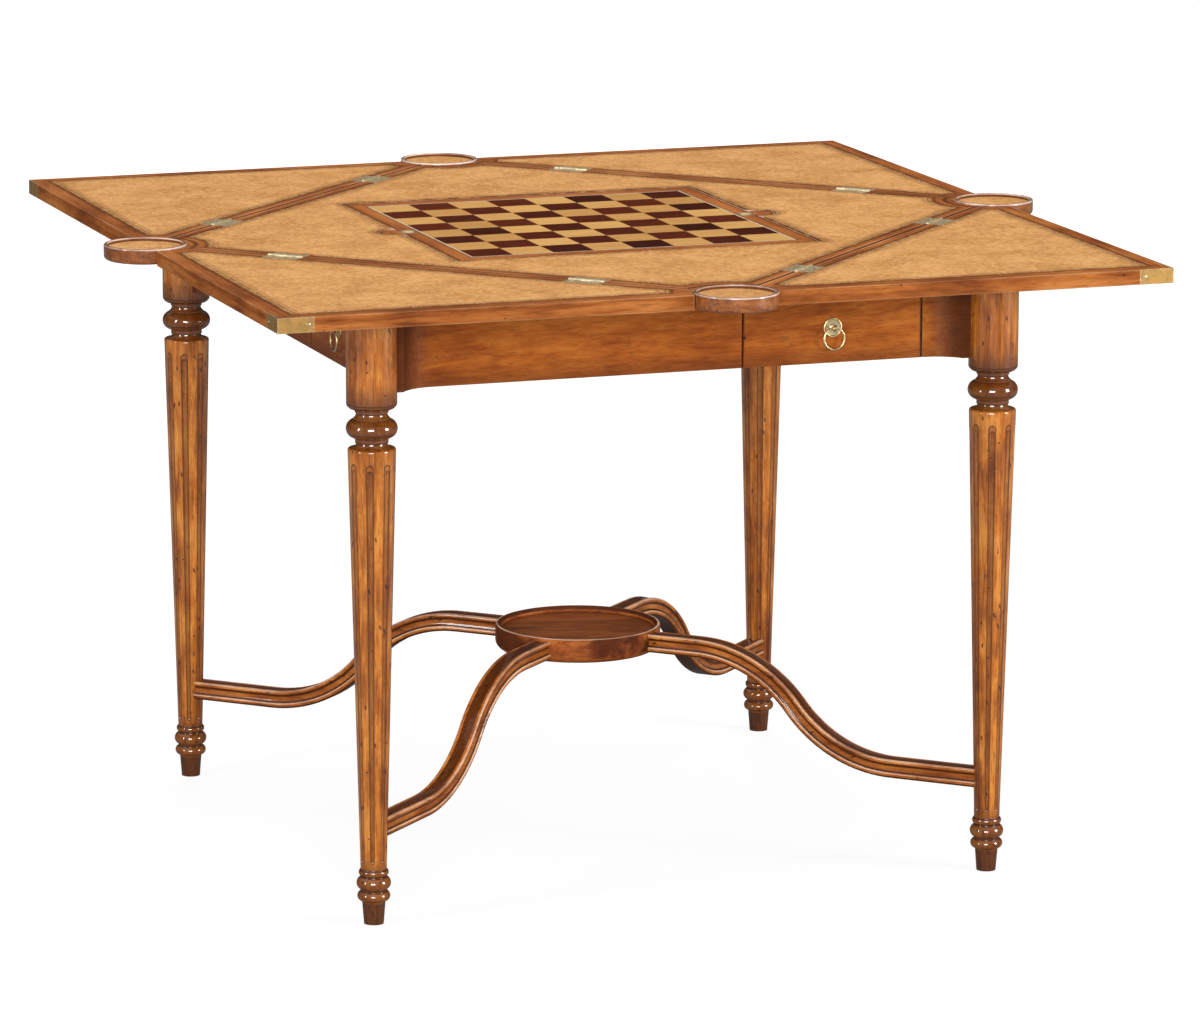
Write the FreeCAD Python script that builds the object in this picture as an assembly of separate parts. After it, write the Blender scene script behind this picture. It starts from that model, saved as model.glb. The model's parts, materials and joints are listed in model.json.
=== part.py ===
import FreeCAD, Part
import os
from math import cos, hypot, radians, sin, sqrt

V = FreeCAD.Vector
origin = V(0, 0, 0)
upward = V(0, 0, 1)

# Envelope-top games table. Millimetres, +Z up, floor at z = 0 under the middle of the table.
# The front is -Y. The top is shown swivelled an eighth of a turn with its four leaves open.

# Whole table
table_height = 762.0        # floor to the writing surface
leg_spacing = 785.0         # leg centre to leg centre; also the side of the closed top
leaf_thickness = 18.0       # leaves and centre panel
swivel_gap = 0.8            # between the frame and the turning top
top_turn = 45.0             # degrees from the closed position to the shown one
sides = ("front", "right", "back", "left")
corners = ("front_left", "front_right", "back_right", "back_left")
quarter = 90.0              # degrees between one side and the next
overrun = 3.0               # how far a cutting tool passes a face
glue_gap = 0.05             # round glued seats
running_gap = 0.05          # pins and the swivel bolt
cut_tolerance = 0.001       # for grooves that graze a tapered surface

# Turned and fluted legs
column_diameter = 60.0
column_length = 117.0       # plain top of the leg between the aprons
column_bevel = 6.0          # rounded lower end of the column
turning_height = 49.5       # coves, fillets and ball under the column
ball_diameter = 61.0
taper_top_diameter = 57.0
taper_foot_diameter = 31.0
foot_height = 66.5
foot_ball_diameter = 41.0
foot_tip_diameter = 23.5
flute_count = 8
flute_width_top = 8.0
flute_width_foot = 4.4
flute_lift_share = 0.25     # centre of the round cutter above the surface, against the width
flute_top_margin = 24.0     # plain length above the flutes
flute_foot_margin = 11.0    # plain length below the flutes

# Lathe profiles from bottom to top, as shares of the ball's radius and of the profile's height.
# Two values end a straight cut, four give a point on a round cut and its end.
turning_shares = ((0.915, 0.053, 0.82, 0.075), (0.79, 0.075), (0.66, 0.109, 0.603, 0.192),
                  (0.646, 0.192), (0.646, 0.305), (0.672, 0.305), (1.0, 0.535, 0.705, 0.765),
                  (0.705, 0.79), (0.625, 0.85, 0.616, 0.925), (0.655, 0.925), (0.655, 1.0))
bevel_shares = (0.72, 0.30)
foot_shares = ((0.683, 0.42), (0.95, 0.535, 0.80, 0.598), (0.76, 0.598), (0.76, 0.64), (0.80, 0.64),
               (1.0, 0.75, 0.80, 0.86), (0.74, 0.86), (0.74, 0.885), (0.77, 0.885),
               (0.87, 0.942, 0.79, 1.0))

# Aprons
apron_height = 106.0
apron_setback = 22.5        # from the line of leg centres to the flat face
apron_thickness = 28.0
flare_length = 52.0         # hollow curve and fillet that meet each leg
fillet_width = 10.0         # flat strip between the hollow and the leg
fillet_step = 1.5           # the strip stands proud of the hollow's end

# Drawers, one in each apron, each to the right of the middle as seen from its side
drawer_width = 229.0
drawer_margin = 3.0         # from the drawer's edge to the start of the flare
drawer_front_thickness = 16.0
drawer_front_gap = 1.4
drawer_top_gap = 0.6
drawer_seat_gap = 0.3       # between the front and the apron web it closes on
drawer_lip = 6.0            # front past the box on each side
drawer_side_gap = 0.5
drawer_end_gap = 2.0
box_lift = 10.0             # apron's lower edge to the drawer box
box_height = 50.0
box_wall = 9.0
box_bottom = 5.0
box_bottom_rise = 4.0
box_groove = 4.0
runner_height = 7.0
divider_thickness = 12.0
guide_thickness = 12.0

# Drawer pulls
pull_rise = 43.0            # apron's lower edge to the plate's centre
pull_plate_diameter = 23.5
pull_plate_thickness = 2.4
pull_plate_rim = 2.4        # width of the raised edge
pull_plate_field = 1.2      # thickness inside the raised edge
pull_boss_diameter = 8.5
pull_stem_diameter = 4.0
pull_reach = 6.6            # face of the drawer to the centre of the eye
eye_diameter = 7.6
eye_thickness = 4.0
ring_outer_diameter = 29.0
ring_wire_diameter = 3.0
ring_eye_gap = 0.45

# Stretchers and dish
dish_diameter = 206.5
dish_height = 31.0
dish_base = 224.5           # floor to the underside of the dish
dish_rim = 4.5
dish_recess = 7.5
dish_foot_diameter = 186.0
stretcher_width = 25.0
stretcher_height = 23.5
stretcher_low = 115.5       # centre line at the legs
stretcher_high = 241.0      # centre line at the dish
stretcher_level = 64.0      # level run beside the dish
stretcher_tail = 124.0      # level run beside the leg centre
tenon_diameter = 11.0
tenon_length = 11.0
tenon_clearance = 1.0       # free depth at the bottom of the hole
# Moulded section as shares of half the width and of the height: a hollow top between two beads,
# hollow sides and a bead at the foot of each side.
section_start_shares = (-0.60, 0.962)
section_shares = ((0.0, 0.925, 0.60, 0.962), (0.915, 0.935, 0.88, 0.735), (0.76, 0.52, 0.87, 0.29),
                  (1.0, 0.175, 0.87, 0.06), (0.80, 0.0), (-0.80, 0.0), (-0.87, 0.06),
                  (-1.0, 0.175, -0.87, 0.29), (-0.76, 0.52, -0.88, 0.735), (-0.915, 0.935, -0.60, 0.962))

# Swivel and well under the board
well_half = 205.0
well_wall = 10.0
well_depth = 16.0           # below the centre panel
well_floor = 6.0
swivel_plate_diameter = 130.0
swivel_plate_thickness = 5.0
bearer_thickness = 16.0
bolt_diameter = 16.0
washer_diameter = 34.0
washer_thickness = 3.0
washer_gap = 0.3
nut_width = 24.0
nut_height = 10.0
nut_sides = 6
pivot_clearance = 2.0       # dividers to the washer and nut

# Leaves and their leather
leaf_gap = 0.8              # along the hinge line
leaf_trim = 0.4             # outer edges, so that folded leaves clear each other
leaf_border = 22.0
hinge_border = 16.0
leather_thickness = 1.2
strap_length = 43.0
strap_thickness = 1.5

# Cups on the corners of the centre panel
cup_diameter = 100.5
cup_height = 19.0
cup_rise = 1.8              # rim above the writing surface
cup_rim = 3.6
cup_edge = 1.2              # rounding of the rim
cup_recess = 5.8
cup_floor_round = 6.0
cup_gap = 1.0               # leaf to cup
cup_band = 26.0             # wood between the cup and the leather
cup_leather_thickness = 1.4
dowel_diameter = 5.5
dowel_length = 36.0
dowel_end_gap = 0.5

# Flush hinges, two to a leaf
hinge_place = 200.0         # from the middle of the leaf
hinge_length = 46.0
hinge_width = 19.0          # each plate, across the joint
hinge_plate_thickness = 2.0
hinge_axis_rise = 0.25
hinge_knuckles = 3
knuckle_diameter = 4.0
knuckle_gap = 0.3
pin_diameter = 1.8

# Chess board that lifts out
square_size = 51.5
square_count = 8
stringing_width = 2.5
board_border = 23.0
board_thickness = 9.0
board_drop = 1.0            # board below the writing surface
board_gap = 0.5
veneer_thickness = 1.2
lobe_reach = 27.0
lobe_nose_radius = 20.0
lobe_hollow_radius = 25.0
thumb_diameter = 23.0
thumb_depth = 5.0
thumb_rim = 1.6
thumb_base = 1.2
thumb_floor_share = 0.72    # width of the floor against the mouth

# Places worked out from the sizes above
half_spacing = leg_spacing / 2
top_low = table_height - leaf_thickness
frame_top = top_low - swivel_gap
apron_low = frame_top - apron_height
apron_face = half_spacing - apron_setback
apron_inner = apron_face - apron_thickness
column_radius = column_diameter / 2
flare_start = half_spacing - column_radius - flare_length
drawer_centre = flare_start - drawer_margin - drawer_width / 2
drawer_back = apron_face - drawer_front_thickness
web_face = drawer_back - drawer_seat_gap
box_half = drawer_width / 2 - drawer_lip
box_low = apron_low + box_lift
box_high = box_low + box_height
divider_face = drawer_centre - box_half - drawer_side_gap
guide_face = drawer_centre + box_half + drawer_side_gap
well_low = top_low - well_depth - well_floor
plate_low = well_low - swivel_plate_thickness
divider_high = plate_low - bearer_thickness
washer_top = divider_high - washer_gap
nut_top = washer_top - washer_thickness
nut_low = nut_top - nut_height
divider_low = box_low - runner_height
cup_radius = cup_diameter / 2
cup_top = table_height + cup_rise
cup_base = cup_top - cup_height
board_top = table_height - board_drop
board_low = board_top - board_thickness
squares_half = square_size * square_count / 2
board_half = squares_half + stringing_width + board_border
pull_height = apron_low + pull_rise
eye_line = apron_face + pull_reach
dish_radius = dish_diameter / 2
leg_reach = half_spacing * sqrt(2)
taper_top = frame_top - column_length - column_bevel - turning_height


def block(x, y, z):
    return Part.makeBox(x[1] - x[0], y[1] - y[0], z[1] - z[0], V(x[0], y[0], z[0]))


def raised(edges, low, high):
    face = Part.Face(Part.Wire(edges))
    face.translate(V(0, 0, low))
    return face.extrude(V(0, 0, high - low))


def prism(points, low, high):
    ends = [V(x, y, 0) for x, y in points]
    return raised(Part.makePolygon(ends + ends[:1]).Edges, low, high)


def disc(radius, low, high, x=0, y=0):
    return Part.makeCylinder(radius, high - low, V(x, y, low))


def bar(radius, start, direction, length):
    return Part.makeCylinder(radius, length, start, direction)


def path(start, steps):
    # A step of two values is a straight line, one of four is an arc through its first point.
    edges = []
    here = V(start[0], 0, start[1])
    for step in steps:
        there = V(step[-2], 0, step[-1])
        if len(step) == 4:
            edges.append(Part.Arc(here, V(step[0], 0, step[1]), there).toShape())
        else:
            edges.append(Part.makeLine(here, there))
        here = there
    return edges


def turned(steps):
    # Lathe work: radius and height pairs, closed along the axis.
    edges = path(steps[0], steps[1:] + steps[:1])
    return Part.Face(Part.Wire(edges)).revolve(origin, upward, 360)


def spun(shape, angle):
    copy = shape.copy()
    copy.rotate(origin, upward, angle)
    return copy


def moved(shape, x, y, z=0):
    copy = shape.copy()
    copy.translate(V(x, y, z))
    return copy


def all_round(shape, first=0):
    # Four copies about the middle of the table.
    return [spun(shape, first + quarter * n) for n in range(len(sides))]


def save(node, *shapes):
    solids = [solid for shape in shapes for solid in shape.Solids]
    Part.makeCompound(solids).exportStep(f"parts/{node}.step")


def arc_points(centre, radius, angles):
    return [(centre[0] + radius * cos(a), centre[1] + radius * sin(a)) for a in angles]


def shaped(shares, width, height, base=0):
    # Profile steps from rows of shares, upwards from a base level.
    sizes = (width, height) * 2
    lifts = (0, base) * 2
    return [tuple(share * size + lift for share, size, lift in zip(row, sizes, lifts)) for row in shares]


def leg_blank():
    column_low = frame_top - column_length
    foot = shaped(foot_shares, foot_ball_diameter / 2, foot_height)
    turning = shaped(turning_shares, ball_diameter / 2, turning_height, taper_top)
    neck = turning[-1][0]
    bevel = (neck + (column_radius - neck) * bevel_shares[0],
             column_low - column_bevel * (1 - bevel_shares[1]))
    return turned([
        (0, 0),
        (foot_tip_diameter / 2, 0),
        *foot,
        (taper_foot_diameter / 2, foot_height),
        (taper_top_diameter / 2, taper_top),
        *turning,
        (*bevel, column_radius, column_low),
        (column_radius, frame_top),
        (0, frame_top)])


def flute():
    # A narrowing round-bottomed groove on the tapered shaft, with rounded ends.
    slope = (taper_top_diameter - taper_foot_diameter) / 2 / (taper_top - foot_height)
    ends = []
    for height, width in ((foot_height + flute_foot_margin, flute_width_foot),
                          (taper_top - flute_top_margin, flute_width_top)):
        lift = width * flute_lift_share
        surface = taper_foot_diameter / 2 + slope * (height - foot_height)
        ends.append((V(surface + lift, 0, height), hypot(width / 2, lift)))
    (foot, foot_radius), (head, head_radius) = ends
    run = head - foot
    groove = Part.makeCone(foot_radius, head_radius, run.Length, foot, run)
    return groove.fuse([Part.makeSphere(foot_radius, foot), Part.makeSphere(head_radius, head)])


def stretcher_socket():
    # Round hole in the front left leg that takes a stretcher's tenon, aimed at the table's middle.
    face = leg_radius_at_stretcher()
    inward = V(1, 1, 0).normalize()
    hole_end = face - tenon_length - tenon_clearance
    return bar(tenon_diameter / 2 + glue_gap, inward * hole_end + V(0, 0, stretcher_low), inward,
               tenon_length + tenon_clearance + overrun)


def leg_radius_at_stretcher():
    share = (stretcher_low - foot_height) / (taper_top - foot_height)
    return (taper_foot_diameter + (taper_top_diameter - taper_foot_diameter) * share) / 2


def legs():
    step = 360 / flute_count
    grooves = [spun(flute(), step * (n + 1 / 2)) for n in range(flute_count)]
    leg = leg_blank().cut(grooves + [stretcher_socket()], cut_tolerance)
    for corner, shape in zip(corners, all_round(moved(leg, -half_spacing, -half_spacing))):
        save(f"leg_{corner}", shape)


def apron_plan():
    # Plan of the front apron: flat face, a hollow and a fillet at each leg, mitred inner corners.
    run = flare_length - fillet_width
    rise = apron_setback - fillet_step
    radius = (run ** 2 + rise ** 2) / (2 * rise)
    hollow_end = flare_start + run
    hollow_edge = apron_face + rise
    middle_x = flare_start + run / 2
    middle_y = apron_face + radius - sqrt(radius ** 2 - (run / 2) ** 2)
    right_flare = Part.Arc(V(flare_start, -apron_face, 0), V(middle_x, -middle_y, 0),
                           V(hollow_end, -hollow_edge, 0)).toShape()
    left_flare = Part.Arc(V(-hollow_end, -hollow_edge, 0), V(-middle_x, -middle_y, 0),
                          V(-flare_start, -apron_face, 0)).toShape()
    right_half = [V(hollow_end, -hollow_edge, 0), V(hollow_end, -half_spacing, 0),
                  V(half_spacing, -half_spacing, 0), V(apron_inner, -apron_inner, 0)]
    left_half = [V(-point.x, point.y, 0) for point in reversed(right_half)]
    corner_run = right_half + left_half
    straight = [Part.makeLine(a, b) for a, b in zip(corner_run, corner_run[1:])]
    face_line = Part.makeLine(V(-flare_start, -apron_face, 0), V(flare_start, -apron_face, 0))
    return [face_line, right_flare] + straight + [left_flare]


def aprons():
    apron = raised(apron_plan(), apron_low, frame_top)
    seats = [disc(column_radius + glue_gap, apron_low - overrun, frame_top + overrun,
                  side * half_spacing, -half_spacing) for side in (-1, 1)]
    half = drawer_width / 2 + drawer_front_gap
    recess = block((drawer_centre - half, drawer_centre + half), (-half_spacing, -web_face),
                   (apron_low - overrun, frame_top + overrun))
    mouth = block((divider_face, guide_face), (-half_spacing, -apron_inner + overrun),
                  (box_low - drawer_side_gap, box_high + drawer_side_gap))
    apron = apron.cut(seats + [recess, mouth])
    for side, shape in zip(sides, all_round(apron)):
        save(f"apron_{side}", shape)


def drawer_carcase():
    # Four boards halved together in the middle, with a guide and two runners for each drawer.
    divider_inner = divider_face - divider_thickness
    lap = (divider_low + divider_high) / 2
    boards = []
    for side in (-1, 1):
        across = sorted((side * divider_inner, side * divider_face))
        along_y = block(across, (-apron_inner, apron_inner), (divider_low, divider_high))
        along_x = block((-apron_inner, apron_inner), across, (divider_low, divider_high))
        for other in (-1, 1):
            cross = sorted((other * divider_inner, other * divider_face))
            along_y = along_y.cut(block(across, cross, (lap, divider_high)))
            along_x = along_x.cut(block(cross, across, (divider_low, lap)))
        boards += [along_y, along_x]
    nut_room = disc(washer_diameter / 2 + pivot_clearance, nut_low - pivot_clearance, divider_high)
    save("drawer_dividers", *[board.cut(nut_room) for board in boards])

    cell = (-apron_inner, -divider_face)
    guide = block((guide_face, guide_face + guide_thickness), cell, (divider_low, divider_high))
    under_box = (divider_low, box_low)
    inner_runner = block((divider_face, divider_face + box_wall), cell, under_box)
    outer_runner = block((guide_face - box_wall, guide_face), cell, under_box)
    save("drawer_runners", *all_round(guide), *all_round(inner_runner), *all_round(outer_runner))

    bearer = block((-divider_face, divider_face), (-divider_face, divider_face),
                   (divider_high, plate_low))
    bore = disc(bolt_diameter / 2 + running_gap, divider_high - overrun, plate_low + overrun)
    save("pivot_bearer", bearer.cut(bore))


def drawers():
    left = drawer_centre - drawer_width / 2
    front = block((left, left + drawer_width), (-apron_face, -drawer_back),
                  (apron_low, frame_top - drawer_top_gap))
    stem = pull_stem_diameter / 2
    front = front.cut(bar(stem + glue_gap, V(drawer_centre, -apron_face - overrun, pull_height),
                          V(0, 1, 0), drawer_front_thickness + 2 * overrun))
    x = (drawer_centre - box_half, drawer_centre + box_half)
    back = -divider_face - drawer_end_gap
    y = (-drawer_back, back)
    z = (box_low, box_high)
    inside_x = (x[0] + box_wall, x[1] - box_wall)
    bottom_z = (box_low + box_bottom_rise, box_low + box_bottom_rise + box_bottom)
    bottom = block((inside_x[0] - box_groove, inside_x[1] + box_groove),
                   (y[0], back - box_wall + box_groove), bottom_z)
    boards = [block((x[0], inside_x[0]), y, z), block((inside_x[1], x[1]), y, z),
              block(inside_x, (back - box_wall, back), z)]
    boards = [board.cut(bottom) for board in boards]
    for side, shape in zip(sides, all_round(front)):
        save(f"drawer_front_{side}", shape)
    for side, shape in zip(sides, all_round(Part.makeCompound(boards + [bottom]))):
        save(f"drawer_box_{side}", shape)


def drawer_pulls():
    # Plate with a rounded rim and a boss, a stem through the drawer front and an eye for the ring.
    plate = pull_plate_diameter / 2
    boss = pull_boss_diameter / 2
    boss_rise = pull_plate_thickness - pull_plate_field
    knob = turned([
        (0, 0),
        (plate, 0),
        (plate - pull_plate_rim / 2, pull_plate_thickness, plate - pull_plate_rim, pull_plate_field),
        (boss, pull_plate_field),
        (boss / sqrt(2), pull_plate_field + boss_rise / sqrt(2), 0, pull_plate_thickness)])
    stem = disc(pull_stem_diameter / 2, -drawer_front_thickness, pull_reach)
    eye = bar(eye_diameter / 2, V(-eye_thickness / 2, 0, pull_reach), V(1, 0, 0), eye_thickness)
    hole = bar(ring_wire_diameter / 2 + ring_eye_gap, V(-eye_thickness, 0, pull_reach), V(1, 0, 0),
               2 * eye_thickness)
    pull = knob.fuse([stem, eye]).cut(hole)
    pull.rotate(origin, V(1, 0, 0), quarter)
    pull.translate(V(drawer_centre, -apron_face, pull_height))
    middle = (ring_outer_diameter - ring_wire_diameter) / 2
    ring = Part.makeTorus(middle, ring_wire_diameter / 2,
                          V(drawer_centre, -eye_line, pull_height - middle), V(0, 1, 0))
    for side, shape in zip(sides, all_round(pull)):
        save(f"pull_plate_{side}", shape)
    for side, shape in zip(sides, all_round(ring)):
        save(f"pull_ring_{side}", shape)


def stretcher():
    # One arm along +X: level beside the dish, two equal arcs down, level to the leg.
    start = dish_radius / 2
    bend = dish_radius + stretcher_level
    tail = leg_reach - stretcher_tail
    run = tail - bend
    drop = stretcher_high - stretcher_low
    radius = (run ** 2 + drop ** 2) / (4 * drop)
    quarter_run = run / 4
    sag = radius - sqrt(radius ** 2 - quarter_run ** 2)
    middle = ((bend + tail) / 2, (stretcher_high + stretcher_low) / 2)
    route = path((start, stretcher_high), [
        (bend, stretcher_high),
        (bend + quarter_run, stretcher_high - sag, *middle),
        (tail - quarter_run, stretcher_low + sag, tail, stretcher_low),
        (leg_reach, stretcher_low)])
    base = stretcher_high - stretcher_height / 2
    outline = shaped((section_start_shares, *section_shares), stretcher_width / 2, stretcher_height, base)
    section = Part.Wire(path(outline[0], outline[1:]))
    section.rotate(origin, upward, quarter)
    section.translate(V(start, 0, 0))
    arm = Part.Wire(route).makePipeShell([section], True, False)
    leg_radius = leg_radius_at_stretcher()
    leg_seat = Part.makeCone(taper_foot_diameter / 2 + glue_gap, taper_top_diameter / 2 + glue_gap,
                             taper_top - foot_height, V(leg_reach, 0, foot_height), upward)
    past_leg = block((leg_reach, leg_reach + overrun), (-stretcher_width, stretcher_width),
                     (0, table_height))
    arm = arm.cut([disc(dish_radius + glue_gap, 0, table_height), leg_seat, past_leg])
    tenons = [bar(tenon_diameter / 2, V(dish_radius - tenon_length, 0, stretcher_high), V(1, 0, 0),
                  stretcher_level),
              bar(tenon_diameter / 2, V(leg_reach - stretcher_tail, 0, stretcher_low), V(1, 0, 0),
                  stretcher_tail - leg_radius + tenon_length)]
    return arm.fuse(tenons)


def underframe():
    for corner, shape in zip(corners, all_round(stretcher(), 180 + quarter / 2)):
        save(f"stretcher_{corner}", shape)
    high = dish_base + dish_height
    foot = dish_foot_diameter / 2
    inside = dish_radius - dish_rim
    swell = (dish_radius + foot) / 2
    dish = turned([
        (0, dish_base),
        (foot, dish_base),
        (swell + (dish_radius - swell) / 2, dish_base + dish_height / 8,
         dish_radius, dish_base + dish_height / 3),
        (dish_radius, high - dish_rim / 2),
        (dish_radius - dish_rim / 6, high - dish_rim / 6, dish_radius - dish_rim / 2, high),
        (inside, high),
        (inside - dish_recess / 2, high - dish_recess),
        (0, high - dish_recess)])
    socket = bar(tenon_diameter / 2 + glue_gap,
                 V(dish_radius - tenon_length - tenon_clearance, 0, stretcher_high), V(1, 0, 0),
                 dish_radius)
    save("stretcher_dish", dish.cut(all_round(socket, quarter / 2)))


# The top is drawn in its closed position, square with the frame, and then turned.


def leaf_outline(hinge_inset, edge_inset):
    # Right-angled triangle that points to -Y, its long side on the hinge line.
    base = -half_spacing - hinge_inset
    tip = -2 * half_spacing + edge_inset * sqrt(2)
    reach = base - tip
    return [(-reach, base), (reach, base), (0, tip)]


def cup_places():
    return [(x * half_spacing, y * half_spacing) for x in (-1, 1) for y in (-1, 1)]


def cup_clearances(radius):
    return [disc(radius, 0, 2 * table_height, x, y) for x, y in cup_places()]


def hinge_parts():
    # One hinge on the line at the middle of the -Y side, its pin on the fold's axis.
    axis_z = table_height + hinge_axis_rise
    third = hinge_length / hinge_knuckles
    radius = knuckle_diameter / 2
    low = table_height - hinge_plate_thickness
    ends = (-hinge_length / 2, hinge_length / 2)

    def on_axis(size, start, finish):
        return bar(size, V(start, -half_spacing, axis_z), V(1, 0, 0), finish - start)

    inner_plate = block(ends, (-half_spacing, hinge_width - half_spacing), (low, table_height))
    leaf_plate = block(ends, (-half_spacing - hinge_width, -half_spacing), (low, table_height))
    middle = on_axis(radius, knuckle_gap / 2 - third / 2, third / 2 - knuckle_gap / 2)
    outer = [on_axis(radius, ends[0], -third / 2 - knuckle_gap / 2),
             on_axis(radius, third / 2 + knuckle_gap / 2, ends[1])]
    room = radius + knuckle_gap
    middle_room = on_axis(room, -third / 2 - knuckle_gap / 2, third / 2 + knuckle_gap / 2)
    outer_room = [on_axis(room, ends[0] - overrun, knuckle_gap / 2 - third / 2),
                  on_axis(room, third / 2 - knuckle_gap / 2, ends[1] + overrun)]
    hole = on_axis(pin_diameter / 2 + running_gap, ends[0] - overrun, ends[1] + overrun)
    inner_plate = inner_plate.cut(outer_room).fuse(middle).cut(hole)
    leaf_plate = leaf_plate.cut(middle_room).fuse(outer).cut(hole)
    pin = on_axis(pin_diameter / 2, *ends)
    mortise = block(ends, (-half_spacing - hinge_width, hinge_width - half_spacing),
                    (low, table_height + overrun))
    groove = on_axis(room, ends[0] - knuckle_gap, ends[1] + knuckle_gap)
    return inner_plate, leaf_plate, pin, mortise.fuse(groove)


def pair(shape):
    return [moved(shape, -hinge_place, 0), moved(shape, hinge_place, 0)]


def leaves():
    high = table_height
    inner_plate, leaf_plate, pin, mortise = hinge_parts()
    leather = prism(leaf_outline(hinge_border, leaf_border), high - leather_thickness, high)
    leather = leather.cut(cup_clearances(cup_radius + cup_band) + pair(mortise))
    tip = -2 * half_spacing + leaf_trim * sqrt(2)
    slant = strap_length / sqrt(2)
    diamond = [(0, 0), (slant, slant), (0, 2 * slant), (-slant, slant)]
    inner_tip = tip + strap_thickness * sqrt(2)
    strap = prism([(x, tip + y) for x, y in diamond], top_low, high)
    strap = strap.cut(prism([(x, inner_tip + y) for x, y in diamond], top_low, high))
    panel = prism(leaf_outline(leaf_gap / 2, leaf_trim), top_low, high)
    panel = panel.cut(cup_clearances(cup_radius + cup_gap) + [leather, strap] + pair(mortise))
    first = -top_turn
    for n, corner in enumerate(corners):
        angle = first + quarter * n
        save(f"leaf_panel_{corner}", spun(panel, angle))
        save(f"leaf_leather_{corner}", spun(leather, angle))
        save(f"leaf_strap_{corner}", spun(strap, angle))
        save(f"leaf_hinges_{corner}", *[spun(plate, angle) for plate in pair(leaf_plate)])
    plates = [spun(plate, first + quarter * n) for n in range(len(sides)) for plate in pair(inner_plate)]
    pins = [spun(item, first + quarter * n) for n in range(len(sides)) for item in pair(pin)]
    save("centre_hinges", *plates, *pins)
    return [spun(item, first + quarter * n) for n in range(len(sides)) for item in pair(mortise)]


def cup_dowel(slack, end_gap):
    # Dowel across the glued seat of the front cup, level, with free space at its ends if asked.
    start = leg_reach - cup_radius - dowel_length / 2
    return bar(dowel_diameter / 2 + slack, V(0, end_gap - start, (cup_base + board_low) / 2),
               V(0, -1, 0), dowel_length + 2 * end_gap)


def cups():
    inside = cup_radius - cup_rim
    floor = cup_top - cup_recess
    edge = cup_edge * (1 - 1 / sqrt(2))
    swell = cup_floor_round * (1 - 1 / sqrt(2))
    cup = turned([
        (0, cup_base),
        (cup_radius - cup_floor_round, cup_base),
        (cup_radius - swell, cup_base + swell, cup_radius, cup_base + cup_floor_round),
        (cup_radius, cup_top - cup_edge),
        (cup_radius - edge, cup_top - edge, cup_radius - cup_edge, cup_top),
        (inside, cup_top),
        (inside, floor),
        (0, floor)])
    cup = moved(cup, 0, -leg_reach).cut(cup_dowel(glue_gap, dowel_end_gap))
    leather = disc(inside - glue_gap, floor, floor + cup_leather_thickness, 0, -leg_reach)
    save("cup_dishes", *all_round(cup))
    save("cup_dowels", *all_round(cup_dowel(0, 0)))
    return all_round(leather)


def lobe(grow, side):
    # Bracket-shaped swelling of the board's edge: a round nose between two hollow arcs.
    nose = lobe_nose_radius + grow
    hollow = lobe_hollow_radius - grow
    nose_x = board_half + lobe_reach - lobe_nose_radius
    hollow_x = board_half + lobe_hollow_radius
    both = lobe_nose_radius + lobe_hollow_radius
    hollow_y = sqrt(both ** 2 - (hollow_x - nose_x) ** 2)
    joint = (nose_x + (hollow_x - nose_x) * nose / both, hollow_y * nose / both)
    foot = (board_half + grow, hollow_y)
    lean_x = (foot[0] + joint[0]) / 2 - hollow_x
    lean_y = (foot[1] + joint[1]) / 2 - hollow_y
    lean = hollow / hypot(lean_x, lean_y)
    waist = (hollow_x + lean_x * lean, hollow_y + lean_y * lean)
    trace = [(foot[0], -foot[1]), (waist[0], -waist[1]), (joint[0], -joint[1]), (nose_x + nose, 0),
             joint, waist, foot]
    points = [V(side * x, side * y, 0) for x, y in trace]
    return [Part.Arc(*points[n:n + 3]).toShape() for n in (0, 2, 4)], points[0], points[-1]


def board_edges(grow):
    half = board_half + grow
    right, right_low, right_high = lobe(grow, 1)
    left, left_high, left_low = lobe(grow, -1)
    top_run = [right_high, V(half, half, 0), V(-half, half, 0), left_high]
    low_run = [left_low, V(-half, -half, 0), V(half, -half, 0), right_low]
    lines = [[Part.makeLine(a, b) for a, b in zip(run, run[1:])] for run in (top_run, low_run)]
    return right + lines[0] + left + lines[1]


def centre(hinge_mortises, cup_leathers):
    high = table_height
    reach = half_spacing - leaf_gap / 2
    panel = block((-reach, reach), (-reach, reach), (top_low, high))
    panel = panel.cut(cup_clearances(cup_radius + glue_gap))
    inset = half_spacing - hinge_border
    leather = block((-inset, inset), (-inset, inset), (high - leather_thickness, high))
    leather = leather.cut(cup_clearances(cup_radius + cup_band))
    panel = spun(panel, top_turn)
    leather = spun(leather, top_turn)
    board_seat = raised(board_edges(board_gap), board_low, high + overrun)
    mouth = block((-well_half, well_half), (-well_half, well_half), (top_low - overrun, high))
    dowel_holes = all_round(cup_dowel(glue_gap, dowel_end_gap))
    leather = leather.cut([board_seat] + hinge_mortises)
    panel = panel.cut([board_seat, mouth, leather] + hinge_mortises + dowel_holes)
    save("centre_panel", panel)
    save("centre_leathers", leather, *cup_leathers)


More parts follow.
